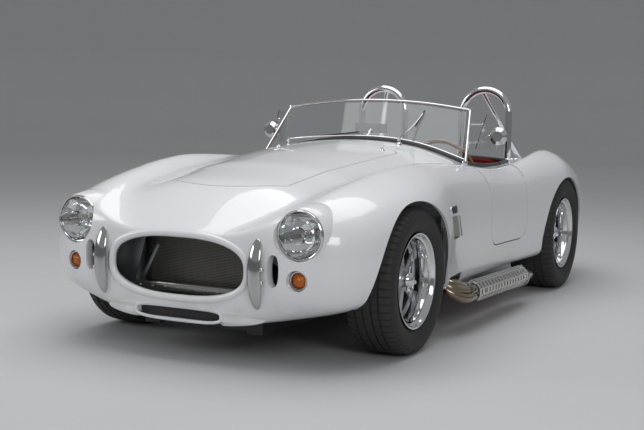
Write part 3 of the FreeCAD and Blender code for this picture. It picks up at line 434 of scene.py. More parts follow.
def rod(start, end, radius, mesh=None, steps=20, bevel=0):
    """A round bar between two points."""
    mesh = mesh or bmesh.new()
    way = end - start
    made = bmesh.ops.create_cone(mesh, cap_ends=True, segments=steps, radius1=radius, radius2=radius,
                                 depth=way.length)["verts"]
    if bevel:
        rims = list({edge for vert in made for edge in vert.link_edges if len(edge.link_faces) == 2 and
                     any(len(face.verts) > 4 for face in edge.link_faces)})
        made = bmesh.ops.bevel(mesh, geom=rims, offset=bevel, segments=2, profile=.5, affect="EDGES",
                               material=-1)["verts"] + [vert for vert in made if vert.is_valid]
        made = list(set(made))
    place = Matrix.Translation((start + end) / 2) @ way.to_track_quat("Z", "Y").to_matrix().to_4x4()
    bmesh.ops.transform(mesh, matrix=place, verts=made)
    return mesh


def hose(points, radius, mesh=None, steps=16, bend=12, ring=False):
    """A smooth round tube along points, from a curve with a round section; a ring closes on itself."""
    curve = bpy.data.curves.new("path", "CURVE")
    curve.dimensions = "3D"
    curve.bevel_depth = radius
    curve.bevel_resolution = steps // 4
    curve.use_fill_caps = not ring
    spline = curve.splines.new("NURBS")
    spline.points.add(len(points) - 1)
    for point, target in zip(spline.points, points):
        point.co = (*target, 1)
    spline.order_u = 3
    spline.use_endpoint_u, spline.use_cyclic_u = not ring, ring
    spline.resolution_u = bend
    holder = bpy.data.objects.new("path", curve)
    mesh = mesh or bmesh.new()
    mesh.from_mesh(bpy.data.meshes.new_from_object(holder))
    bpy.data.objects.remove(holder)
    return mesh


def merge(mesh, part):
    """Moves the faces of a part that was made apart into `mesh`."""
    data = bpy.data.meshes.new("part")
    part.to_mesh(data)
    part.free()
    mesh.from_mesh(data)
    bpy.data.meshes.remove(data)


def only_verts(items):
    return [item for item in items if isinstance(item, bmesh.types.BMVert)]


def extruded(mesh, edges):
    """Extrudes a row of edges; gives the new vertices and the new row."""
    grown = bmesh.ops.extrude_edge_only(mesh, edges=edges)["geom"]
    verts = only_verts(grown)
    return verts, [item for item in grown if isinstance(item, bmesh.types.BMEdge) and
                   all(vert in verts for vert in item.verts)]


def mirror_copy(mesh):
    """Adds the same shape on the other side of the car."""
    both = bmesh.ops.duplicate(mesh, geom=mesh.verts[:] + mesh.edges[:] + mesh.faces[:])["geom"]
    verts = only_verts(both)
    faces = [item for item in both if isinstance(item, bmesh.types.BMFace)]
    bmesh.ops.scale(mesh, vec=(-1, 1, 1), verts=verts)
    bmesh.ops.reverse_faces(mesh, faces=faces)
    return mesh


def flipped(mesh):
    """The same shape moved to the other side of the car."""
    bmesh.ops.scale(mesh, vec=(-1, 1, 1), verts=mesh.verts)
    bmesh.ops.reverse_faces(mesh, faces=mesh.faces)
    return mesh


# %% [markdown]
# ## Wheels and tyres
# A tyre is one short length of tread carried round the axis. The outline holds the ribs between its
# lengthwise grooves. For each block the outline is turned, dropped at the shoulders to make a cross cut,
# turned again and raised, which is how a mould is cut too.

# %% Tyres
BLOCKS = 60


def tyre(centre, side, radius, width, bead=.2105):
    """One tyre with its tread; `side` is 1 on the left."""
    mesh = bmesh.new()
    ribs = []
    grooves = [.062, .098, .137, .173] if width < .25 else [.066, .106, .164, .204]
    scale = (width - .052) / .183 if width < .25 else (width - .052) / .218
    ribs.append((-.026, radius - .0035))
    for middle in grooves:
        middle = .026 + (middle - .026) * scale
        ribs += [(-middle + .0045, radius + .0005), (-middle + .003, radius - .007),
                 (-middle - .003, radius - .007), (-middle - .0045, radius + .0005)]
    ribs.append((-width + .026, radius - .0035))
    outer = [(-.034, bead), (-.026, bead + .003), (-.022, bead + .010), (-.0115, bead + .024),
             (-.0105, bead + .0275), (-.0045, bead + .042), (-.0012, bead + .060), (-.0012, bead + .074),
             (-.0035, radius - .034), (-.0085, radius - .019), (-.0155, radius - .0095)]
    inner = [(-width - along, r) for along, r in reversed(outer)]
    points = outer + ribs + inner
    axis = LEFT * side
    verts = [mesh.verts.new(centre + axis * along + UP * r) for along, r in points]
    edges = [mesh.edges.new(pair) for pair in zip(verts, verts[1:])]
    first = set(range(len(outer) - 2, len(outer) + 2))
    last = set(range(len(points) - len(inner) - 2, len(points) - len(inner) + 2))
    cut = first | last
    middle_cut = {len(outer) + 4, len(outer) + 5, len(outer) + 12, len(outer) + 13}
    pitch = math.tau / BLOCKS
    ring = verts
    for share, drop in ((.70, 0), (.06, 1), (.18, 0), (.06, -1)):
        new_verts, edges = extruded(mesh, edges)
        turn = Matrix.Rotation(pitch * share, 4, axis)
        bmesh.ops.rotate(mesh, cent=centre, matrix=turn, verts=new_verts)
        expected = [centre + Matrix.Rotation(pitch * share, 3, axis) @ (vert.co - centre) for vert in ring]
        matched = [min(new_verts, key=lambda vert: (vert.co - spot).length) for spot in expected]
        if drop:
            for i in range(len(points)):
                if i in cut or i in middle_cut:
                    away = matched[i].co - centre
                    away -= axis * away.dot(axis)
                    depth = .0045 if i in cut else .003
                    matched[i].co -= away.normalized() * depth * drop
        ring = matched
    bmesh.ops.spin(mesh, geom=mesh.verts[:] + mesh.edges[:] + mesh.faces[:], cent=centre, axis=axis,
                   angle=math.tau - pitch, steps=BLOCKS - 1, use_duplicate=True)
    bmesh.ops.remove_doubles(mesh, verts=mesh.verts, dist=2e-5)
    return mesh


# %% [markdown]
# The rim is spun too: a rolled lip, a polished deep dish and the barrel. The centre is cast, with six pairs
# of ribs between a hub and the barrel, and a three-eared nut pulls it on.

# %% Rims
def rim(centre, side, width, dish):
    return lathe([(-.020, .2100), (-.0175, .2125), (-.0155, .2118), (-.0165, .2065), (-.021, .2020), (-.030, .1995),
                  (-.034, .1955), (-.036, .1900), (-.038, .1878), (-.046, .1868), (-.052, .1835),
                  (-dish, .1800), (-dish - .045, .1795), (-width + .060, .1800), (-width + .030, .1960),
                  (-width + .021, .2095), (-width + .026, .2095), (-width + .040, .1985),
                  (-.040, .1985), (-.030, .2075)], centre, LEFT * side, steps=96)


def spider(centre, side, dish):
    """The cast centre: hub, six double ribs and the ring that meets the barrel."""
    axis = LEFT * side
    mesh = lathe([(-dish + .020, .0), (-dish + .020, .034), (-dish + .012, .050), (-dish - .004, .058),
                  (-dish - .010, .066), (-dish - .045, .066), (-dish - .045, .0)], centre, axis, steps=48,
                 closed=False)
    lathe([(-dish - .018, .1805), (-dish - .018, .171), (-dish - .024, .166), (-dish - .040, .166),
           (-dish - .046, .171), (-dish - .046, .1805)], centre, axis, steps=72, mesh=mesh)
    for i in range(6):
        spoke = bmesh.new()
        bmesh.ops.create_cube(spoke, size=1)
        bmesh.ops.scale(spoke, vec=(.024, .050, .126), verts=spoke.verts)
        for vert in spoke.verts:
            vert.co.y *= 1.0 if vert.co.z < 0 else .92
            vert.co.x -= .012 * (vert.co.z / .126 + .5)
        front = max(spoke.faces, key=lambda face: face.calc_center_median().x)
        bmesh.ops.inset_region(spoke, faces=[front], thickness=.0085, depth=0)
        bmesh.ops.translate(spoke, vec=(-.013, 0, 0), verts=front.verts)
        bmesh.ops.scale(spoke, vec=(1, .86, .94), verts=front.verts, space=Matrix.Identity(4))
        edges = [edge for edge in spoke.edges if edge.calc_face_angle(0) > .5]
        bmesh.ops.bevel(spoke, geom=edges, offset=.0022, segments=2, profile=.5, affect="EDGES", material=-1)
        bmesh.ops.translate(spoke, vec=(-dish - .012, 0, .113), verts=spoke.verts)
        bmesh.ops.rotate(spoke, matrix=Matrix.Rotation(math.tau * i / 6, 3, "X"), verts=spoke.verts)
        if side < 0:
            flipped(spoke)
        bmesh.ops.translate(spoke, vec=centre, verts=spoke.verts)
        merge(mesh, spoke)
    return mesh


def knock_off(centre, side, dish):
    """The wheel nut with three swept ears."""
    axis = LEFT * side
    mesh = lathe([(-dish + .018, .0), (-dish + .018, .036), (-dish + .026, .039), (-dish + .034, .037),
                  (-dish + .044, .030), (-dish + .050, .022), (-dish + .053, .012), (-dish + .0535, .0)],
                 centre, axis, steps=48, closed=False)
    for i in range(3):
        ear = bmesh.new()
        bmesh.ops.create_cube(ear, size=1)
        bmesh.ops.subdivide_edges(ear, edges=ear.edges, cuts=3, use_grid_fill=True)
        bmesh.ops.scale(ear, vec=(.013, .022, .046), verts=ear.verts)
        for vert in ear.verts:
            out = vert.co.z / .046 + .5
            vert.co.y *= 1 - .35 * out
            vert.co.y += .010 * out * out
            vert.co.x += .008 * out * out
            vert.co.x *= 1 - .25 * out
        bmesh.ops.smooth_vert(ear, verts=ear.verts, factor=.5, use_axis_x=True, use_axis_y=True, use_axis_z=True)
        bmesh.ops.translate(ear, vec=(-dish + .032, 0, .040), verts=ear.verts)
        bmesh.ops.rotate(ear, matrix=Matrix.Rotation(math.tau * i / 3 + .4, 3, "X"), verts=ear.verts)
        if side < 0:
            flipped(ear)
        bmesh.ops.translate(ear, vec=centre, verts=ear.verts)
        merge(mesh, ear)
    return mesh


WHEELS = {  # station, outer face, tyre radius, width, depth of the centre, rubber
    "front": (0, .808, .327, .235, .088, front_rubber),
    "rear": (WHEELBASE, .836, .338, .270, .104, rear_rubber),
}
for end, (station, face, radius, width, dish, material) in WHEELS.items():
    for side, name in SIDES:
        body = "wheel_%s_%s" % (end, name)
        centre = at(face * side, station, radius)
        tyre_piece = piece("tread_%s_%s" % (end, name), tyre(centre, side, radius, width), material, body, 35)
        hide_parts("tyre_%s_%s" % (end, name))
        dish_piece = piece("dish_%s_%s" % (end, name), rim(centre, side, width, dish), chrome, body, 30)
        piece("spider_%s_%s" % (end, name), spider(centre, side, dish), spoke_alloy, body, 30)
        piece("wheel_nut_%s_%s" % (end, name), knock_off(centre, side, dish), chrome, body, 45)
        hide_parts("rim_%s_%s" % (end, name))

# %% [markdown]
# ## Lamps
# A lamp is a bright ring round a domed lens, with a polished bowl and a bulb behind it. All four parts are
# outlines spun round the lamp's own axis, which points forward. The rings in the lens are real steps, and a
# painted ring blends each lamp into the wing.

# %% Headlamps and indicators
def lamp_pair(name, place, outline, material, steps=72, closed=True):
    """The same spun part on both sides; outline pairs are (forward, radius)."""
    return piece(name, mirror_copy(lathe(outline, at(*place), FORWARD, steps=steps, closed=closed)), material,
                 smooth=35)


def lamp_bowl(back, start, depth, spread, count):
    """The outline of a curved reflector that opens forward: out along its face and home along its back."""
    face = [(back - depth * (1 - (i / count) ** 2), start + spread * i / count) for i in range(count + 1)]
    return face + [(along - .002, radius + .002) for along, radius in face[::-1]]


def dome(radius, rise, thick, rings, step):
    """A domed lens with ring steps on its inside, as (forward, radius) pairs from the middle out and back."""
    front = [(rise * (1 - (i / 12) ** 2), radius * i / 12) for i in range(13)]
    back = []
    for i in range(rings, 0, -1):
        share = i / rings
        depth = rise * (1 - share ** 2) - thick
        back += [(depth - step, radius * (share - .001)), (depth + step, radius * (share - .9 / rings))]
    return front + [(-thick, radius)] + back[1:] + [(rise - thick, 0)]


HEAD, HEAD_LENS = (.552, -.653, .572), (.552, -.654, .572)
SMALL, SMALL_LENS = (.552, -.652, .391), (.552, -.653, .391)
bezel = lamp_pair("headlamp_bezels", HEAD,
                  [(-.002, .0925), (.0045, .0935), (.0085, .0958), (.0095, .0985), (.0075, .1012), (.002, .1028),
                   (-.012, .1030), (-.020, .1022), (-.024, .1024), (-.030, .1030), (-.150, .1030), (-.150, .1000),
                   (-.012, .0985), (-.010, .0940)], chrome, 96)
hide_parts("headlamp_rims")
lens = lamp_pair("headlamp_glasses", HEAD_LENS, dome(.0936, .026, .0035, 3, .0004), lamp_glass, closed=False)
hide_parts("headlamp_lenses")
lamp_pair("headlamp_bowls", HEAD, lamp_bowl(-.004, .020, .088, .0725, 10), mirror_silver)
lamp_pair("headlamp_bulbs", HEAD,
          [(-.100, 0), (-.100, .022), (-.092, .022), (-.088, .012), (-.060, .011), (-.050, .0145), (-.036, .0150),
           (-.030, .013), (-.028, .0)], worn_chrome, 32, closed=False)
small_bezel = lamp_pair("indicator_bezels", SMALL,
                        [(-.001, .0305), (.006, .0312), (.0100, .0335), (.0105, .0365), (.0075, .0400),
                         (.001, .0422), (-.012, .0424), (-.110, .0420), (-.110, .0395), (-.006, .0385),
                         (-.004, .0305)], chrome, 64)
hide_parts("indicator_rims")
small_lens = lamp_pair("indicator_glasses", SMALL_LENS, dome(.0312, .019, .003, 5, .0008), amber_glass, 64,
                       closed=False)
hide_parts("indicator_lenses")
lamp_pair("indicator_bowls", SMALL, lamp_bowl(-.003, .006, .030, .0245, 6), mirror_silver)
lamp_pair("headlamp_nacelles", HEAD,
          [(-.006, .1032), (-.010, .1065), (-.030, .1120), (-.070, .1190), (-.120, .1240), (-.160, .1230),
           (-.160, .1032)], white_paint, 96)
lamp_pair("indicator_sockets", SMALL,
          [(-.002, .0422), (-.004, .0450), (-.020, .0490), (-.060, .0500), (-.060, .0422)], white_paint, 64)
print("lamps ready")

# %% [markdown]
# ## The mouth
# The aluminium skin is rolled round a wire at the mouth, so its edge is a smooth bead. The bead follows the
# opening's own line, which is an oval with squared shoulders. Behind it stand the radiator, its lower
# cross-bar and a steering strut.

# %% Rolled mouth edge
def oval_path(half, rise, squareness, station, z, count=72):
    """A closed ring of points on an oval, at one station."""
    points = []
    for i in range(count):
        angle = math.tau * i / count
        cosine, sine = math.cos(angle), math.sin(angle)
        points.append(at(half * math.copysign(abs(cosine) ** (2 / squareness), cosine), station,
                         z + rise * math.copysign(abs(sine) ** (2 / squareness), sine)))
    return points


MOUTH_Z, MOUTH_HALF, MOUTH_RISE, MOUTH_SQUARE = .412, .323, .1225, 2.6
mouth_edge = oval_path(MOUTH_HALF + .013, MOUTH_RISE + .013, MOUTH_SQUARE, -.693, MOUTH_Z)
slot_edge = oval_path(.212, .031, 3.4, -.690, .214)
piece("mouth_roll", hose(mouth_edge, .0165, bend=2, ring=True), white_paint)
piece("slot_roll", hose(slot_edge, .0070, bend=2, ring=True), white_paint)
piece("slot_duct", block((.424, .030, .058), at(0, -.655, .214), .012, 3), black_steel)

# %% [markdown]
# The radiator's core is a stack of flat tubes with fine fins between them. The folded fins would be thousands
# of faces, so the core is rows of thin bars across it with finer upright bars in front of them.

# %% Radiator, cross-bar and strut
core = bmesh.new()
CORE_X, CORE_LOW, CORE_HIGH, CORE_S = .27, .232, .530, -.4905
CORE_TUBES, CORE_FINS, CORE_RISE = 45, 90, CORE_HIGH - CORE_LOW
for i in range(CORE_TUBES + 1):
    block((CORE_X * 2, .004, .0022), at(0, CORE_S - .0055, CORE_LOW + CORE_RISE * i / CORE_TUBES), mesh=core)
for i in range(CORE_FINS + 1):
    block((.0012, .003, CORE_RISE), at(-CORE_X + CORE_X * 2 * i / CORE_FINS, CORE_S - .003, CORE_LOW + CORE_RISE / 2),
          mesh=core)
piece("radiator_fins", core, radiator_fin, smooth=None)
tank = bmesh.new()
for size, x, z in (((.58, .012, .030), 0, CORE_HIGH + .013), ((.030, .012, .330), .285, .381),
                   ((.030, .012, .330), -.285, .381), ((.58, .012, .018), 0, CORE_LOW - .010)):
    block(size, at(x, CORE_S - .006, z), .003, mesh=tank)
piece("radiator_frame", tank, black_steel)
cross = bmesh.new()
block((.62, .046, .005), at(0, -.560, .312), .0015, mesh=cross)
block((.62, .005, .034), at(0, -.585, .296), .0015, mesh=cross)
piece("mouth_crossbar", cross, worn_chrome)
bolts = bmesh.new()
for i in range(9):
    x = -.27 + .54 * i / 8
    rod(at(x, -.5875, .296), at(x, -.592, .296), .0045, bolts, 12, .001)
piece("mouth_rivets", bolts, worn_chrome)
strut = bmesh.new()
for size, place, lean in (((.016, .010, .190), (-.222, -.575, .395), 28), ((.120, .006, .26), (-.345, -.56, .410), 16)):
    block(size, at(*place), .002, turn=Matrix.Rotation(math.radians(lean), 4, "Y"), mesh=strut)
piece("mouth_strut", strut, cast_alloy)

# %% [markdown]
# Each front overrider is held by two bolts whose round heads show on its outboard side.

# %% Overrider bolts
bolts = bmesh.new()
for z in (.376, .429):
    lathe([(0, 0), (0, .0095), (.003, .0105), (.006, .0100), (.010, .0085), (.013, .005), (.014, 0)],
          at(.408, -.714, z), LEFT, steps=24, closed=False, mesh=bolts)
    rod(at(.396, -.714, z), at(.409, -.714, z), .0065, bolts, 16)
piece("overrider_bolts", mirror_copy(bolts), worn_chrome)

# %% [markdown]
# ## Standing on the skin
# Many fittings stand on the body. A ray dropped from above on the skin's own solids gives the height there,
# so a fitting sits on the panel that carries it.

# %% Heights of the skin
SKIN = [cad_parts[name] for name in ("body_shell", "bonnet", "boot_lid", "door_left", "door_right")]


def skin_height(x, station, start=1.25):
    """The height of the highest skin under a point."""
    heights = []
    for panel in SKIN:
        hit, place, normal, face = panel.ray_cast(at(x, station, start), Vector((0, 0, -1)))
        if hit:
            heights.append(place.z)
    return max(heights)


def on_skin(x, station, above=0):
    return at(x, station, skin_height(x, station) + above)


# %% [markdown]
# ## Windscreen
# The screen is a bowed sheet that leans back. A thin plated frame runs round it, its posts are thicker than
# its top, and a thick rubber strip seals it to the scuttle. The frame's line is worked out on the sheet.

# %% Windscreen frame
SCREEN_LEAN, SCREEN_BOW = .82, .048
SCREEN_LOW, POST_HIGH, SCREEN_MIDDLE = .789, (.551, 1.077), 1.124
POST_X = .613
ACROSS = [share / 10 for share in range(-10, 11, 2)]


def screen_point(x, z, depth=.002):
    return at(x, 1.057 + (z - SCREEN_LOW) * SCREEN_LEAN + SCREEN_BOW * ((x / .614) ** 2 - 1) + depth, z)


def screen_base(x, above=0):
    """Where the sheet meets the skin."""
    z = .85
    for _ in range(8):
        place = screen_point(x, z)
        z = skin_height(x, place.y - FRONT_AXLE)
    return screen_point(x, z + above)


frame_mesh = bmesh.new()
for side in (-1, 1):
    foot = screen_base(POST_X * side, -.004)
    post = [foot] + [screen_point((POST_X - (POST_X - POST_HIGH[0]) * share) * side,
                                  foot.z + (POST_HIGH[1] - foot.z) * share) for share in (.25, .5, .75, 1)]
    hose(post, .0085, frame_mesh)
    block((.030, .020, .028), foot + Vector((0, 0, .010)), .005, mesh=frame_mesh)
    block((.021, .016, .021), screen_point(POST_HIGH[0] * side, POST_HIGH[1]), .005, mesh=frame_mesh)
    for z in (.905, 1.000):
        along = (z - SCREEN_LOW) * SCREEN_LEAN
        start = screen_point((.604 - (z - SCREEN_LOW) * .21) * side, z)
        end = at((.614 + math.sin(math.radians(9)) * (along - .030)) * side, 1.150 + along - .030, z)
        rod(start, end, .0045, frame_mesh, 12)
        block((.014, .026, .020), end - Vector((.0085 * side, 0, 0)), .003, mesh=frame_mesh)
top = [screen_point(POST_HIGH[0] * share, SCREEN_MIDDLE - (SCREEN_MIDDLE - POST_HIGH[1]) * share ** 2)
       for share in (-1, -.75, -.5, -.25, 0, .25, .5, .75, 1)]
hose(top, .0070, frame_mesh)
rail = [screen_base(.600 * share, .020) for share in ACROSS]
hose(rail, .0055, frame_mesh)
frame_piece = piece("screen_frame", frame_mesh, chrome)
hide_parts("windscreen_frame")
seal = [screen_base(.610 * share, .004) for share in ACROSS]
piece("screen_seal", hose(seal, .0135), black_rubber)
print("screen base in the middle at", tuple(round(value, 3) for value in screen_base(0)))

# %% [markdown]
# Each wiper has a plated foot on the scuttle, a sprung arm and a thin blade. One is parked low and the other
# stands up against the glass.

# %% Wipers
wipers, blades = bmesh.new(), bmesh.new()
for x, tip_x, tip_z in ((.265, .300, 1.055), (-.406, -.060, .925)):
    foot = on_skin(x, .985)
    lathe([(0, 0), (0, .017), (.006, .015), (.010, .010), (.030, .008), (.034, .010), (.042, .009), (.045, 0)],
          foot, UP, steps=24, closed=False, mesh=wipers)
    head = foot + Vector((0, .004, .038))
    tip = screen_point(tip_x, tip_z, -.014)
    near = screen_point(x + (tip_x - x) * .25, head.z + (tip_z - head.z) * .25 + .01, -.020)
    hose([head, near, tip], .0032, wipers)
    low = screen_point(x + (tip_x - x) * .38, head.z + (tip_z - head.z) * .38 + .008, -.006)
    high = screen_point(tip_x + (tip_x - x) * .06, min(tip_z + .02, 1.07), -.006)
    hose([low, (low + high) / 2, high], .0036, blades)
piece("wiper_arms", wipers, chrome)
piece("wiper_blades", blades, black_rubber)

# %% [markdown]
# ## Mirrors
# The mirror heads are solids already. Only the silvered glass and a bright rim are missing, facing the driver.

# %% Mirror faces
faces = bmesh.new()
MIRROR_RADIUS, MIRROR_Z = .048, .940
mirror_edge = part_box("side_mirrors")[1]
for side in (1, -1):
    centre = Vector((side * (mirror_edge[0] - MIRROR_RADIUS), mirror_edge[1] - .001, MIRROR_Z))
    lathe([(0, 0), (0, .0435), (.0025, .0460), (.004, .0470), (.004, .0478), (-.002, .0480), (-.002, 0)],
          centre, REAR, steps=48, closed=False, mesh=faces)
block((.178, .002, .040), at(0, 1.2135, .965), .0008, mesh=faces)
piece("mirror_faces", faces, mirror_silver)

# %% [markdown]
# ## Cockpit edge
# The cockpit's edge is covered with a roll of black hide. It is three pieces: one on each door, which swings
# with it, and one that runs behind the seats from door to door.

# %% Cockpit edge roll
EDGE_HALF = .583


def edge_roll(name, points, body):
    return piece(name, hose([on_skin(x, station, .004) for x, station in points], .0115), black_leather, body)


for side, word in SIDES:
    steps = [1.135 + (1.640 - 1.135) * i / 8 for i in range(9)]
    edge_roll("door_roll_" + word, [((EDGE_HALF + .014) * side, station) for station in steps], "door_" + word)
behind = [(EDGE_HALF + .012 - .035 * share, 1.662 + .28 * share) for share in (0, .33, .66, 1)]
corner = [(.515, 2.010), (.440, 2.052), (.34, 2.056), (.2, 2.056), (0, 2.056)]
left_half = behind + corner
edge_roll("rear_roll", left_half + [(-x, station) for x, station in left_half[-2::-1]], "car")

# %% [markdown]
# ## Seats
# A seat is a squab and a back of padded hide on a trimmed shell. Each pad starts as a block a little smaller
# than the real one, a cloth simulation blows it up, and the sewn channels are pressed in afterwards. Pads are
# made this way because stuffing pushes hide outward evenly, and stitches then hold it down in lines.

# %% Pads
def applied(thing):
    """Applies the modifiers of `thing` and keeps its finish."""
    materials = list(thing.data.materials)
    depsgraph = bpy.context.evaluated_depsgraph_get()
    shaped = bpy.data.meshes.new_from_object(thing.evaluated_get(depsgraph))
    thing.modifiers.clear()
    thing.data = shaped
    thing.data.materials.clear()
    for material in materials:
        thing.data.materials.append(material)


def pressed(thing, pressure=4.0, most=.011, frames=20, voxel=.008):
    """Blows a closed pad up with the cloth simulation; no vertex moves further than `most`."""
    remesh = thing.modifiers.new("even", "REMESH")
    remesh.mode = "VOXEL"
    remesh.voxel_size = voxel
    remesh.use_smooth_shade = True
    applied(thing)
    before = [vert.co.copy() for vert in thing.data.vertices]
    cloth = thing.modifiers.new("cloth", "CLOTH")
    cloth.settings.use_pressure = True
    cloth.settings.uniform_pressure_force = pressure
    cloth.settings.effector_weights.gravity = 0
    cloth.collision_settings.use_collision = False
    cloth.point_cache.frame_start = 1
    cloth.point_cache.frame_end = frames
    for number in range(1, frames + 1):
        scene.frame_set(number)
    applied(thing)
    for vert, start in zip(thing.data.vertices, before):
        moved = vert.co - start
        if moved.length > most:
            vert.co = start + moved.normalized() * most
    scene.frame_set(1)


def refined(thing):
    """One level of subdivision, applied."""
    smooth = thing.modifiers.new("smooth", "SUBSURF")
    smooth.levels = smooth.render_levels = 1
    applied(thing)


def pad_mesh(size, centre, turn, shaping):
    """A rounded block whose vertices `shaping` moves in its own axes before it is turned into place."""
    mesh = bmesh.new()
    bmesh.ops.create_cube(mesh, size=1)
    bmesh.ops.subdivide_edges(mesh, edges=mesh.edges, cuts=9, use_grid_fill=True)
    bmesh.ops.scale(mesh, vec=size, verts=mesh.verts)
    for vert in mesh.verts:
        shaping(vert.co)
    for _ in range(2):
        bmesh.ops.smooth_vert(mesh, verts=mesh.verts, factor=.5, use_axis_x=True, use_axis_y=True, use_axis_z=True)
    bmesh.ops.transform(mesh, matrix=Matrix.Translation(centre) @ turn, verts=mesh.verts)
    return mesh


SEAT_X, RIGHT_SHIFT = .353, -.720
SQUAB_TURN = Matrix.Rotation(math.radians(7), 4, "X")
BACK_TURN = Matrix.Rotation(math.radians(-11), 4, "X")
SQUAB_PLACE, BACK_PLACE = at(SEAT_X, 1.578, .358), at(SEAT_X, 1.788, .560)


def squab_shape(point):
    point.x *= 1 - .10 * max(0, point.y / .22)
    if point.z > 0:
        point.z += .018 * min(1, (abs(point.x) / .17) ** 4)


def back_shape(point):
    high = point.z / .22
    point.x *= 1 - .16 * max(0, high) ** 3
    point.z -= .045 * max(0, high) * (point.x / .17) ** 2
    if point.y < 0:
        point.y -= .016 * min(1, (abs(point.x) / .16) ** 4)


def channels(thing, place, turn, normal_axis, half_across, low, high, depth=.0055, pitch=.046):
    """Presses straight sewn channels into the face that looks along `normal_axis`."""
    back = (Matrix.Translation(place) @ turn).inverted()
    turn3 = turn.to_3x3()
    normals = [vert.normal.copy() for vert in thing.data.vertices]
    for vert, normal in zip(thing.data.vertices, normals):
        local = back @ vert.co
        facing = (turn3.transposed() @ normal)[normal_axis[0]] * normal_axis[1]
        along = local.y if normal_axis[0] == 2 else local.z
        if facing < .45 or abs(local.x) > half_across + .01 or not low - .01 < along < high + .01:
            continue
        nearest = round(local.x / pitch) * pitch
        line = math.exp(-((local.x - nearest) / .0055) ** 2)
        edge = max(math.exp(-((abs(local.x) - half_across) / .005) ** 2),
                   math.exp(-((along - low) / .005) ** 2), math.exp(-((along - high) / .005) ** 2))
        inside = abs(local.x) < half_across and low < along < high
        vert.co -= normal * depth * max(line if inside else 0, edge)


for word, shift in (("left", 0), ("right", RIGHT_SHIFT)):
    step = Vector((shift, 0, 0))
    squab = piece("squab_" + word, pad_mesh((.372, .425, .098), SQUAB_PLACE + step, SQUAB_TURN, squab_shape),
                  red_leather)
    rest = piece("seat_back_" + word, pad_mesh((.372, .078, .415), BACK_PLACE + step, BACK_TURN, back_shape),
                 red_leather)
    for pad in (squab, rest):
        pressed(pad)
        refined(pad)
    channels(squab, SQUAB_PLACE + step, SQUAB_TURN, (2, 1), .138, -.165, .150)
    channels(rest, BACK_PLACE + step, BACK_TURN, (1, -1), .132, -.150, .160)
    for pad in (squab, rest):
        pad.data.shade_smooth()
    shell = block((.396, .440, .060), at(SEAT_X + shift, 1.585, .275), .018, 3)
    block((.30, .40, .028), at(SEAT_X + shift, 1.585, .250), .004, mesh=shell)
    block((.400, .030, .44), at(SEAT_X + shift, 1.838, .500), .014, 3, turn=BACK_TURN, mesh=shell, taper=(.86, 1))
    piece("seat_shell_" + word, shell, red_leather)
    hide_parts("seat_" + word)
    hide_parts("seat_" + word)
print("seats ready")

# %% [markdown]
# ## Steering wheel
# A riveted wood rim on a flat aluminium spider with three drilled spokes. The wheel's axis leans back by
# twenty degrees, so each part is made flat round the Y axis and then turned into place.

# %% Steering wheel
WHEEL_PLACE = at(.36, 1.390, .725)
WHEEL_TURN = Matrix.Translation(WHEEL_PLACE) @ Matrix.Rotation(math.radians(20), 4, "X")


def leaned(mesh):
    bmesh.ops.transform(mesh, matrix=WHEEL_TURN, verts=mesh.verts)
    return mesh


tube_ring = [(.010 + .0125 * math.cos(math.tau * i / 20), .185 + .0125 * math.sin(math.tau * i / 20))
             for i in range(20)]
wood_rim = piece("wheel_rim_wood", leaned(lathe(tube_ring, Vector(), REAR, steps=96)), varnished_wood,
                 "steering_wheel")
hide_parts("steering_wheel")
spider_mesh = lathe([(.008, .174), (.008, .190), (.0115, .190), (.0115, .174)], Vector(), REAR, steps=96)
lathe([(.002, 0), (.002, .036), (.006, .038), (.012, .036), (.016, .028), (.024, .026), (.028, .020), (.030, 0)],
      Vector(), REAR, steps=48, closed=False, mesh=spider_mesh)
lathe([(-.016, 0), (-.016, .028), (.004, .030), (.004, 0)], Vector(), REAR, steps=32, closed=False,
      mesh=spider_mesh)
for angle in (90, 210, 330):
    spoke = bmesh.new()
    bmesh.ops.create_grid(spoke, x_segments=10, y_segments=4, size=.5)
    bmesh.ops.scale(spoke, vec=(.150, .030, 1), verts=spoke.verts)
    holes = [face for face in spoke.faces if abs(face.calc_center_median().y) < .008 and
             round((face.calc_center_median().x / .015) - .5) % 3 == 0]
    bmesh.ops.inset_individual(spoke, faces=holes, thickness=.0012, depth=0)
    bmesh.ops.delete(spoke, geom=holes, context="FACES")
    for vert in spoke.verts:
        vert.co.y *= 1 - .25 * (vert.co.x / .15 + .5)
    bmesh.ops.solidify(spoke, geom=spoke.faces[:], thickness=.003)
    bmesh.ops.translate(spoke, vec=(.105, 0, 0), verts=spoke.verts)
    bmesh.ops.rotate(spoke, matrix=Matrix.Rotation(math.radians(90), 3, "X"), verts=spoke.verts)
    bmesh.ops.rotate(spoke, matrix=Matrix.Rotation(math.radians(angle), 3, "Y"), verts=spoke.verts)
    bmesh.ops.translate(spoke, vec=(0, .011, 0), verts=spoke.verts)
    merge(spider_mesh, spoke)
for i in range(15):
    turned = Matrix.Rotation(math.tau * i / 15, 3, "Y")
    out = turned @ Vector((.185, 0, 0))
    rod(out + Vector((0, .0215, 0)), out + Vector((0, .0232, 0)), .0028, spider_mesh, 10)
piece("wheel_spider", leaned(spider_mesh), brushed_aluminium, "steering_wheel")

# %% [markdown]
# ## Dashboard and controls
# The dashboard carries two large and five small round instruments with bright bezels, a row of toggle
# switches, and below it a cranked gear lever with a turned knob on the tunnel.

# %% Instruments, switches and gear lever
def dial_way(degrees):
    """A direction across a dial that faces the rear."""
    return Vector((math.cos(math.radians(degrees)), 0, math.sin(math.radians(degrees))))


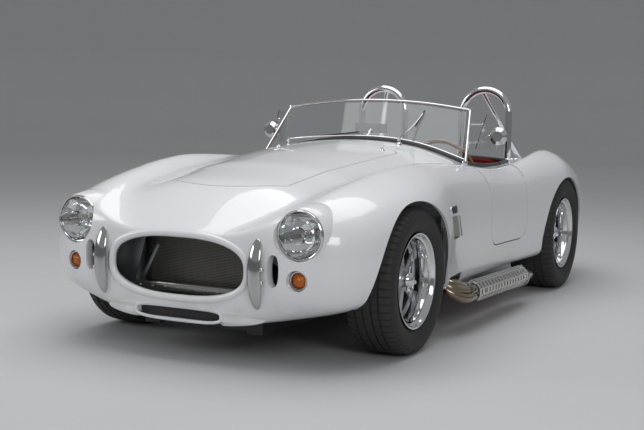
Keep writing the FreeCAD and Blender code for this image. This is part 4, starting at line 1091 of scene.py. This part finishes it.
bezels, dials, needles, knobs, covers = (bmesh.new() for _ in range(5))
GAUGES = [(.245, .775, .050), (.475, .755, .050), (.105, .790, .029), (.030, .790, .029), (-.045, .790, .029),
          (-.120, .790, .029), (-.195, .785, .029)]
DASH_S = 1.1105
for number, (x, z, radius) in enumerate(GAUGES):
    centre = at(x, DASH_S, z)
    lathe([(-.004, radius), (.006, radius), (.0085, radius - .002), (.0085, radius - .005), (.004, radius - .006),
           (.001, radius - .006), (-.004, radius - .006)], centre, REAR, steps=48, mesh=bezels)
    lathe([(.001, 0), (.0015, radius - .005), (-.002, radius - .005), (-.002, 0)], centre, REAR, steps=40,
          closed=False, mesh=dials)
    for i in range(11):
        way = dial_way(-210 + 24 * i)
        rod(centre + way * radius * .68 + REAR * .0020, centre + way * radius * .80 + REAR * .0020, .0006, needles, 6)
    way = dial_way(150 - 37 * number)
    rod(centre - way * radius * .18 + REAR * .0030, centre + way * radius * .62 + REAR * .0030, .0008, needles, 6)
    lathe([(.002, 0), (.002, .0035), (.005, .003), (.005, 0)], centre, REAR, steps=16, closed=False, mesh=needles)
for i in range(6):
    x = .10 - .058 * i
    lathe([(0, .009), (.003, .009), (.005, .006), (.005, 0)], at(x, DASH_S, .715), REAR, steps=20, closed=False,
          mesh=bezels)
    rod(at(x, DASH_S + .003, .715), at(x, DASH_S + .018, .708), .0022, knobs, 10)
    lathe([(0, 0), (.001, .0032), (.004, .0036), (.006, 0)], at(x, DASH_S + .014, .7095), REAR, steps=12,
          closed=False, mesh=knobs)
lever_foot = at(0, 1.300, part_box("tunnel")[1][2])
lathe([(-.002, .055), (.006, .055), (.010, .048), (.030, .030), (.045, .018), (.052, .010), (.052, 0)], lever_foot,
      UP, steps=32, closed=False, mesh=covers)
hose([lever_foot + Vector(step) for step in ((0, 0, .03), (.005, -.04, .13), (.015, -.02, .20), (.02, .04, .235))],
     .0062, knobs)
lathe([(-.022, 0), (-.020, .009), (-.010, .017), (.004, .021), (.014, .018), (.021, .010), (.023, 0)],
      lever_foot + Vector((.02, .045, .245)), UP, steps=32, closed=False, mesh=covers)
hose([at(.075, 1.46, .425), at(.085, 1.36, .455), at(.090, 1.24, .50)], .009, knobs)
rod(at(.090, 1.245, .498), at(.094, 1.16, .535), .014, covers, 20, .004)
piece("gauge_bezels", bezels, chrome)
piece("gauge_dials", dials, dial_black)
piece("gauge_needles", needles, needle_white)
piece("control_levers", knobs, chrome)
piece("control_grips", covers, black_leather)

# %% [markdown]
# ## Chin
# Under the mouth the skin turns down into a shallow chin with a slot for cooling air. Rings of points are
# bridged from the slot's edge out to the chin's edge, and each point is laid on the skin behind it.

# %% Chin
def skin_front(x, z):
    """How far forward the body's skin reaches at a place seen from the front."""
    hit, place, normal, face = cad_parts["body_shell"].ray_cast(Vector((x, -2.4, z)), REAR)
    return place.y if hit and place.y < -1.5 else -1.90


chin = bmesh.new()
rings = []
for step in range(8):
    share = step / 7
    ring = []
    for inner, outer in zip(oval_path(.210, .0300, 4.0, 0, .213, 96), oval_path(.395, .0450, 2.25, 0, .2165, 96)):
        spot = inner.lerp(outer, share)
        sunk = .004 - .009 * min(1, max(0, (.262 - spot.z) / .030)) + .014 * (abs(spot.x) / .395) ** 6
        tuck = .55 * max(0, .196 - spot.z)
        ring.append(chin.verts.new((spot.x, skin_front(spot.x, max(spot.z, .222)) + sunk + tuck, spot.z)))
    rings.append([chin.edges.new(pair) for pair in zip(ring, ring[1:] + ring[:1])])
for first, second in zip(rings, rings[1:]):
    bmesh.ops.bridge_loops(chin, edges=first + second)
for loop, depth in ((rings[0], .020), (rings[-1], .050)):
    bmesh.ops.translate(chin, vec=(0, depth, 0), verts=extruded(chin, loop)[0])
bmesh.ops.smooth_vert(chin, verts=chin.verts, factor=.4, use_axis_y=True)
piece("chin", chin, white_paint, smooth=50)

# %% [markdown]
# ## Overriders
# An overrider is a tall lens of plated steel: narrow at both ends, crowned across, and bowed so that its
# middle stands furthest forward. A sphere is flattened, its width is eased, and then it is bent.

# %% Overriders
def overrider(x, station, z, half_width, half_depth, half_height, bow, way, width_power):
    mesh = bmesh.new()
    bmesh.ops.create_uvsphere(mesh, u_segments=40, v_segments=40, radius=1)
    for vert in mesh.verts:
        w = max(-1, min(1, vert.co.z))
        fuller = math.sqrt(max(0, 1 - abs(w) ** width_power)) / max(.02, math.sqrt(max(0, 1 - w * w)))
        vert.co = Vector((vert.co.x * half_width * min(fuller, 6), vert.co.y * half_depth * min(fuller, 3) ** .5 +
                          way * bow * w * w, w * half_height))
    bmesh.ops.translate(mesh, vec=at(x, station, z), verts=mesh.verts)
    return mesh


OVERRIDER_X = .381
OVERRIDERS = {  # station, height, half depth, half height, bow, way, heights of the stubs, their two ends
    "front": (-.720, .409, .0145, .146, .032, 1, (.330, .480), (-.716, -.655)),
    "rear": (3.216, .445, .0140, .115, .026, -1, (.395, .495), (3.213, 3.160)),
}
for end, (station, z, half_depth, half_height, bow, way, stubs, ends) in OVERRIDERS.items():
    blades = overrider(OVERRIDER_X, station, z, .0300, half_depth, half_height, bow, way, 3.0)
    for height in stubs:
        rod(at(OVERRIDER_X, ends[0], height), at(OVERRIDER_X, ends[1], height), .013, blades, 24)
    blade_piece = piece(end + "_blades", mirror_copy(blades), dark_chrome, smooth=60)
    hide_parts(end + "_overriders")

# %% [markdown]
# ## Side pipes
# Four header tubes leave the body ahead of the door, turn back side by side and join a silencer. A bent
# sheet with rows of slots guards it. The tubes follow smooth curves; the sheet's slots are real holes.

# %% Side pipes and heat shields
PIPE_X, PIPE_Z, SILENCER = .808, .195, .050
HEADER_ROUTES = [
    [(.655, .420, .262), (.715, .424, .255), (.800, .440, .205), (.838, .500, .180), (.836, .600, .178),
     (.828, .680, .182)],
    [(.655, .462, .268), (.705, .466, .262), (.775, .486, .226), (.808, .540, .210), (.812, .610, .207),
     (.812, .680, .205)],
    [(.655, .504, .262), (.700, .508, .256), (.752, .526, .208), (.776, .575, .184), (.786, .630, .182),
     (.792, .680, .184)],
    [(.655, .548, .270), (.695, .551, .266), (.745, .566, .244), (.774, .606, .224), (.790, .645, .216),
     (.800, .690, .208)],
]
PIPE_START, PIPE_WAY = at(PIPE_X, .655, PIPE_Z), Vector((0, .9992, -.035))
for side, word in SIDES:
    headers = bmesh.new()
    for route in HEADER_ROUTES:
        hose([at(x, station, z) for x, station, z in route], .0222, headers, 24)
    can = lathe([(0, .030), (0, .040), (.012, .047), (.030, .0495), (.050, SILENCER), (.790, SILENCER), (.805, .047),
                 (.815, .034), (.820, .0295), (.955, .0285), (.958, .0275), (.955, .0262), (.900, .0262),
                 (.820, .020)], PIPE_START, PIPE_WAY, steps=56)
    for along in (.035, .800):
        lathe([(along, .0500), (along, .0535), (along + .012, .0535), (along + .012, .0500)], PIPE_START, PIPE_WAY,
              steps=48, mesh=can)
    if side < 0:
        flipped(headers)
        flipped(can)
    header_piece = piece("headers_" + word, headers, heat_tinted_steel)
    can_piece = piece("silencer_" + word, can, worn_chrome)
    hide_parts("side_pipe_" + word)
    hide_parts("side_pipe_" + word)

shield = bmesh.new()
PROFILE = [(-.004, .0545), (.030, .0465), (.0525, .018), (.0535, -.014), (.038, -.0445)]
SHIELD_START, SHIELD_LENGTH, SHIELD_CELLS = .640, .800, 34
SHIELD_CELL = SHIELD_LENGTH / SHIELD_CELLS
verts = [shield.verts.new(at(PIPE_X + x, SHIELD_START, PIPE_Z + z)) for x, z in PROFILE]
edges = [shield.edges.new(pair) for pair in zip(verts, verts[1:])]
for i in range(SHIELD_CELLS):
    verts, edges = extruded(shield, edges)
    bmesh.ops.translate(shield, vec=(0, SHIELD_CELL, -SHIELD_CELL * .02), verts=verts)
holed = []
for face in shield.faces:
    centre = face.calc_center_median()
    number = round((centre.y - FRONT_AXLE - SHIELD_START) / SHIELD_CELL - .5)
    if 0 < number < SHIELD_CELLS - 1 and (number + (centre.z > PIPE_Z)) % 2 == 0:
        holed.append(face)
bmesh.ops.inset_individual(shield, faces=holed, thickness=.0058, depth=0)
bmesh.ops.delete(shield, geom=holed, context="FACES")
bmesh.ops.recalc_face_normals(shield, faces=shield.faces)
bmesh.ops.solidify(shield, geom=shield.faces[:], thickness=.0014)
for along in (SHIELD_START + .06, SHIELD_START + SHIELD_LENGTH - .06):
    for x, z in (PROFILE[1], PROFILE[3]):
        inner, outer = (at(PIPE_X + x * reach, along, PIPE_Z + z * reach) for reach in (.7, 1.06))
        rod(inner, outer, .005, shield, 14)
shield_piece = piece("pipe_guards", mirror_copy(shield), worn_chrome, smooth=25)
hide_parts("heat_shields")

# %% [markdown]
# ## Side vents and plates
# Behind each front wheel a vent lets hot air out, past slanted vanes, and a small blank plate with a bright
# edge sits above it.

# %% Vents
vanes = bmesh.new()
for i in range(4):
    station = .392 + .036 * i
    vane = block((.0022, .050, .100), Vector(), .0008, 1, turn=Matrix.Rotation(math.radians(-38), 4, "Z"))
    for vert in vane.verts:
        vert.co.y -= vert.co.z * .42
    bmesh.ops.translate(vane, vec=at(.772, station + .030, .526), verts=vane.verts)
    merge(vanes, vane)
block((.002, .20, .13), at(.757, .455, .526), mesh=vanes)
vent_piece = piece("vent_vanes", mirror_copy(vanes), vent_grey)
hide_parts("side_vents")


def skin_side(station, z):
    """Where the body's skin is at a place seen from the left, and which way it faces."""
    hit, place, normal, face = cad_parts["body_shell"].ray_cast(at(1.2, station, z), -LEFT)
    return place, normal


place, normal = skin_side(.425, .611)
facing = normal.to_track_quat("X", "Z").to_matrix().to_4x4()
plate_edges = block((.006, .124, .038), place + normal * .001, .0018, 2, turn=facing)
plates = block((.004, .117, .031), place + normal * .0030, .0012, 2, turn=facing)
piece("plate_edges", mirror_copy(plate_edges), chrome)
piece("blank_plates", mirror_copy(plates), black_steel)

# %% [markdown]
# ## Tail
# Round red lenses sit in plated rings at the ends of short painted housings.

# %% Tail lamps
TAIL_X, TAIL_Z = .470, .560
rear_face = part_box("tail_lamps")[1][1]
ring_place = Vector((TAIL_X, rear_face - .002, TAIL_Z))
housing = lathe([(-.118, 0), (-.118, .0360), (-.010, .0360), (-.010, 0)], ring_place, REAR, steps=48, closed=False)
ring_mesh = lathe([(-.011, .0358), (.002, .0362), (.0055, .0350), (.0065, .0330), (.004, .0315), (-.004, .0310),
                   (-.009, .0310)], ring_place, REAR, steps=48)
lens_mesh = lathe([(.016, 0), (.0155, .010), (.0135, .020), (.009, .027), (.001, .0312), (-.007, .0312), (-.007, 0)],
                  Vector((TAIL_X, rear_face - .003, TAIL_Z)), REAR, steps=48, closed=False)
tail_rings = piece("tail_lamp_rings", mirror_copy(ring_mesh), chrome)
tail_glasses = piece("tail_lamp_glasses", mirror_copy(lens_mesh), red_glass)
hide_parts("tail_lamps")
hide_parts("tail_lamps")
piece("tail_lamp_housings", mirror_copy(housing), white_paint)

# %% [markdown]
# The flat part of the tail carries the number plate: a blank pressed sheet in a thin frame, on two studs, with
# a small hooded lamp above it.

# %% Number plate and its lamp
TAIL_FACE, PLATE_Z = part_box("body_shell")[1][1], .408


def tail(x, out, up=0):
    """A point of the number plate: across, out from the tail's face, and up from the plate's middle."""
    return Vector((x, TAIL_FACE + out, PLATE_Z + up))


holder = block((.316, .0040, .160), tail(0, .0055), .0015)
for x in (-.100, .100):
    rod(tail(x, -.010), tail(x, .006), .006, holder, 16)
    rod(tail(x, .009, .055), tail(x, .0125, .055), .0055, holder, 20, .001)
piece("number_plate_sheet", block((.306, .0020, .150), tail(0, .0085), .0008), white_enamel)
piece("number_plate_holder", holder, black_steel)
piece("number_plate_lamp", block((.070, .030, .016), tail(0, .012, .090), .006, 3), chrome)

# %% [markdown]
# A turned handle opens the boot. The fuel filler is a ribbed plated cap with a quick-release lever, and it
# stands square to the wing under it.

# %% Boot handle and fuel filler
handle = bmesh.new()
spot = on_skin(0, 2.895)
lathe([(-.004, 0), (-.004, .020), (.004, .019), (.010, .012), (.020, .010), (.024, 0)], spot, UP, steps=28,
      closed=False, mesh=handle)
hose([spot + Vector((x, 0, z)) for x, z in ((-.045, .018), (-.02, .024), (.02, .024), (.045, .018))], .0062, handle)
piece("boot_handle", handle, chrome, "boot_lid")

filler = bmesh.new()
spot = on_skin(-.560, 2.690)
WING_SLOPE = math.radians(14)
out = Vector((-math.sin(WING_SLOPE), 0, math.cos(WING_SLOPE)))
lathe([(-.030, .056), (.003, .056), (.006, .052), (.006, .047), (.020, .046), (.028, .041), (.031, .030),
       (.0325, .012), (.033, 0)], spot, out, steps=64, closed=False, mesh=filler)
side_way = out.orthogonal().normalized()
cross_way = out.cross(side_way)
for i in range(24):
    angle = math.tau * i / 24
    way = side_way * math.cos(angle) + cross_way * math.sin(angle)
    rod(spot + out * .008 + way * .0462, spot + out * .019 + way * .0462, .0022, filler, 8)
hose([spot + out * rise + side_way * across for rise, across in ((.030, -.045), (.040, -.02), (.040, .02), (.030, .058))],
     .0048, filler)
filler_piece = piece("fuel_filler", filler, chrome)
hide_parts("fuel_cap")

# %% [markdown]
# ## Bonnet catches and hoop flanges
# A small turned catch holds each rear corner of the bonnet, and the hoops and their stays stand on round
# flanges that are bolted through the deck.

# %% Catches and flanges
catches = bmesh.new()
for side in (-1, 1):
    spot = on_skin(.300 * side, .690)
    lathe([(-.003, 0), (-.003, .014), (.0025, .013), (.004, .009), (.009, .008), (.011, 0)], spot, UP, steps=24,
          closed=False, mesh=catches)
    block((.004, .024, .008), spot + Vector((0, 0, .010)), .0015, 2, mesh=catches)
piece("bonnet_catches", catches, chrome, "bonnet")

flanges = bmesh.new()
for side in (-1, 1):
    for x, station, radius in ((.192, 2.140, .022), (.492, 2.140, .022), (.470, 2.383, .017)):
        spot = on_skin(x * side, station)
        lathe([(-.010, radius), (-.010, radius + .022), (.003, radius + .021), (.005, radius + .017),
               (.0055, radius + .004), (.010, radius)], spot, UP, steps=32, mesh=flanges)
        for i in range(4):
            angle = math.tau * (i + .5) / 4
            bolt = spot + Vector((math.cos(angle), math.sin(angle), 0)) * (radius + .0125)
            rod(bolt, bolt + UP * .009, .0042, flanges, 6)
piece("hoop_flanges", flanges, chrome)

# %% [markdown]
# ## Brakes
# A ventilated disc and its caliper sit behind each wheel's spokes. The disc turns with the wheel and the
# caliper stays with the upright, or with the axle at the rear.

# %% Brakes
for end, (station, face, radius, width, dish, material) in WHEELS.items():
    for side, name in SIDES:
        centre = at(face * side, station, radius)
        out = LEFT * side
        disc = lathe([(-dish - .062, .060), (-dish - .062, .142), (-dish - .067, .142), (-dish - .067, .138),
                      (-dish - .074, .138), (-dish - .074, .142), (-dish - .079, .142), (-dish - .079, .060)],
                     centre, out, steps=64)
        for i in range(30):
            angle = math.tau * i / 30
            for r in (.085, .105, .125):
                way = Vector((0, math.cos(angle + r * 9), math.sin(angle + r * 9)))
                spot = centre + way * r
                rod(spot - out * (dish + .0612), spot - out * (dish + .0625), .0028, disc, 8)
        piece("disc_%s_%s" % (end, name), disc, cast_alloy, "wheel_%s_%s" % (end, name))
        holder = "knuckle_front_" + name if end == "front" else "car"
        caliper = block((.070, .060, .100), centre + Vector((-side * (dish + .0705), .118, .030)), .010, 3)
        rod(centre + Vector((-side * (dish + .032), .118, .052)), centre + Vector((-side * (dish + .10), .118, .052)),
            .015, caliper, 20)
        piece("caliper_%s_%s" % (end, name), caliper, cast_iron, holder)

# %% [markdown]
# ## Under the bonnet
# The engine is one plain block in the solids. Its visible fittings are finned rocker covers, a round air
# cleaner over the intake, fan and pulleys at its front, hoses to the radiator, exhaust pipes and leads.

# %% Engine fittings
covers, cleaner, leads, pipes = (bmesh.new() for _ in range(4))
BLOCK_TOP, BLOCK_FRONT = .566, -.015
for side in (-1, 1):
    tilt_side = Matrix.Rotation(math.radians(28 * side), 4, "Y")
    block((.105, .500, .055), at(.135 * side, .320, BLOCK_TOP + .030), .016, 3, turn=tilt_side, mesh=covers)
    for i in range(7):
        shift = tilt_side @ Vector((-.036 + .012 * i, 0, .029))
        block((.004, .440, .006), at(.135 * side, .320, BLOCK_TOP + .030) + shift, .001, 1, turn=tilt_side,
              mesh=covers)
    for i in range(4):
        start = at(.190 * side, .130 + .125 * i, BLOCK_TOP - .030)
        hose([at(.03 * side, .600, .640), at(.12 * side, .52 - .06 * i, .655), at(.215 * side, .150 + .125 * i, .640),
              start], .0035, leads)
        rod(start, start + Vector((.020 * side, 0, -.030)), .009, leads, 14, .002)
    for route in (((.216, .12, .45), (.27, .16, .44), (.30, .30, .38), (.31, .42, .30)),
                  ((.216, .40, .45), (.26, .42, .44), (.29, .47, .38), (.30, .55, .30))):
        hose([at(x * side, station, z) for x, station, z in route], .021, pipes, 20)
block((.150, .470, .050), at(0, .320, BLOCK_TOP + .020), .012, 2, mesh=cleaner)
lathe([(0, .045), (.040, .045), (.045, .150), (.050, .158), (.085, .158), (.092, .152), (.096, .060), (.104, .050),
       (.108, .020), (.108, 0)], at(0, .300, BLOCK_TOP + .030), UP, steps=72, closed=False, mesh=cleaner)
lathe([(-.012, 0), (-.012, .018), (.010, .016), (.014, 0)], at(0, .300, BLOCK_TOP + .145), UP, steps=24,
      closed=False, mesh=cleaner)
rod(at(0, .600, BLOCK_TOP), at(0, .600, .660), .032, leads, 28, .006)
for x, z, radius in ((0, .300, .070), (0, .470, .052), (.135, .520, .038), (-.135, .430, .034)):
    lathe([(0, 0), (0, radius), (.006, radius), (.010, radius - .006), (.018, radius - .006), (.022, radius),
           (.028, radius), (.028, 0)], at(x, BLOCK_FRONT - .002, z), FORWARD, steps=40, closed=False, mesh=cleaner)
for i in range(6):
    blade = block((.052, .003, .150), Vector((0, 0, .112)), .001, 1, turn=Matrix.Rotation(math.radians(24), 4, "Z"))
    bmesh.ops.rotate(blade, matrix=Matrix.Rotation(math.tau * i / 6, 3, "Y"), verts=blade.verts)
    bmesh.ops.translate(blade, vec=at(0, BLOCK_FRONT - .050, .440), verts=blade.verts)
    merge(covers, blade)
rod(at(0, BLOCK_FRONT - .060, .440), at(0, BLOCK_FRONT - .010, .440), .036, covers, 28, .005)
for route in (((.04, .060, .590), (.06, -.060, .600), (.10, -.26, .560), (.14, -.425, .510)),
              ((-.10, .000, .260), (-.16, -.14, .250), (-.20, -.30, .270), (-.22, -.425, .270))):
    hose([at(*point) for point in route], .020, leads, 20)
block((.200, .130, .150), at(-.280, .640, .420), .010, 2, mesh=leads)
block((.055, .110, .090), at(.290, .600, .560), .008, 2, mesh=pipes)
piece("rocker_covers", covers, brushed_aluminium)
piece("air_cleaner", cleaner, chrome)
piece("engine_leads", leads, black_rubber)
piece("exhaust_manifolds", pipes, cast_iron)

# %% [markdown]
# ## Studio
# The floor is a wide plain pale sheet whose rim curves up all round, far from the car. Three large soft lamps
# stand in for the studio's ceiling, and the world fills the shadows.

# %% Floor and light
FLOOR_EDGE = [(0, 0), (0, 18), (.4, 20.4), (1.2, 22), (2.4, 22.8), (5, 23)]
floor_mesh = lathe(FLOOR_EDGE, Vector(), UP, steps=96, closed=False)
floor_data = bpy.data.meshes.new("floor")
bmesh.ops.recalc_face_normals(floor_mesh, faces=floor_mesh.faces)
floor_mesh.to_mesh(floor_data)
floor_mesh.free()
floor = bpy.data.objects.new("floor", floor_data)
scene.collection.objects.link(floor)
floor_data.shade_smooth()
stone = Finish("pale_floor")
pale = stone.mix(stone.noise(1.4, 5) * .5, (.60, .60, .60), (.54, .54, .55))
floor_data.materials.append(stone.done(Base_Color=pale, Roughness=stone.noise(6, 4) * .2 + .5))


def lamp(name, place, aim, width, height, power):
    data = bpy.data.lights.new(name, "AREA")
    data.shape = "RECTANGLE"
    data.size, data.size_y, data.energy = width, height, power
    light = bpy.data.objects.new(name, data)
    light.location = place
    light.rotation_euler = (Vector(aim) - Vector(place)).to_track_quat("-Z", "Y").to_euler()
    scene.collection.objects.link(light)


lamp("ceiling", (0, -.5, 5.2), (0, 0, 0), 5, 7, 190)
lamp("front_left", (5.5, -6, 3.2), (.5, -1, .5), 3, 2, 95)
lamp("front_right", (-5.5, -5, 3.0), (0, -.5, .5), 3, 2, 70)
world = bpy.data.worlds.new("studio")
world.use_nodes = True
world.node_tree.nodes["Background"].inputs["Color"].default_value = (.75, .77, .80, 1)
world.node_tree.nodes["Background"].inputs["Strength"].default_value = .42
scene.world = world
scene.view_settings.view_transform = "Standard"
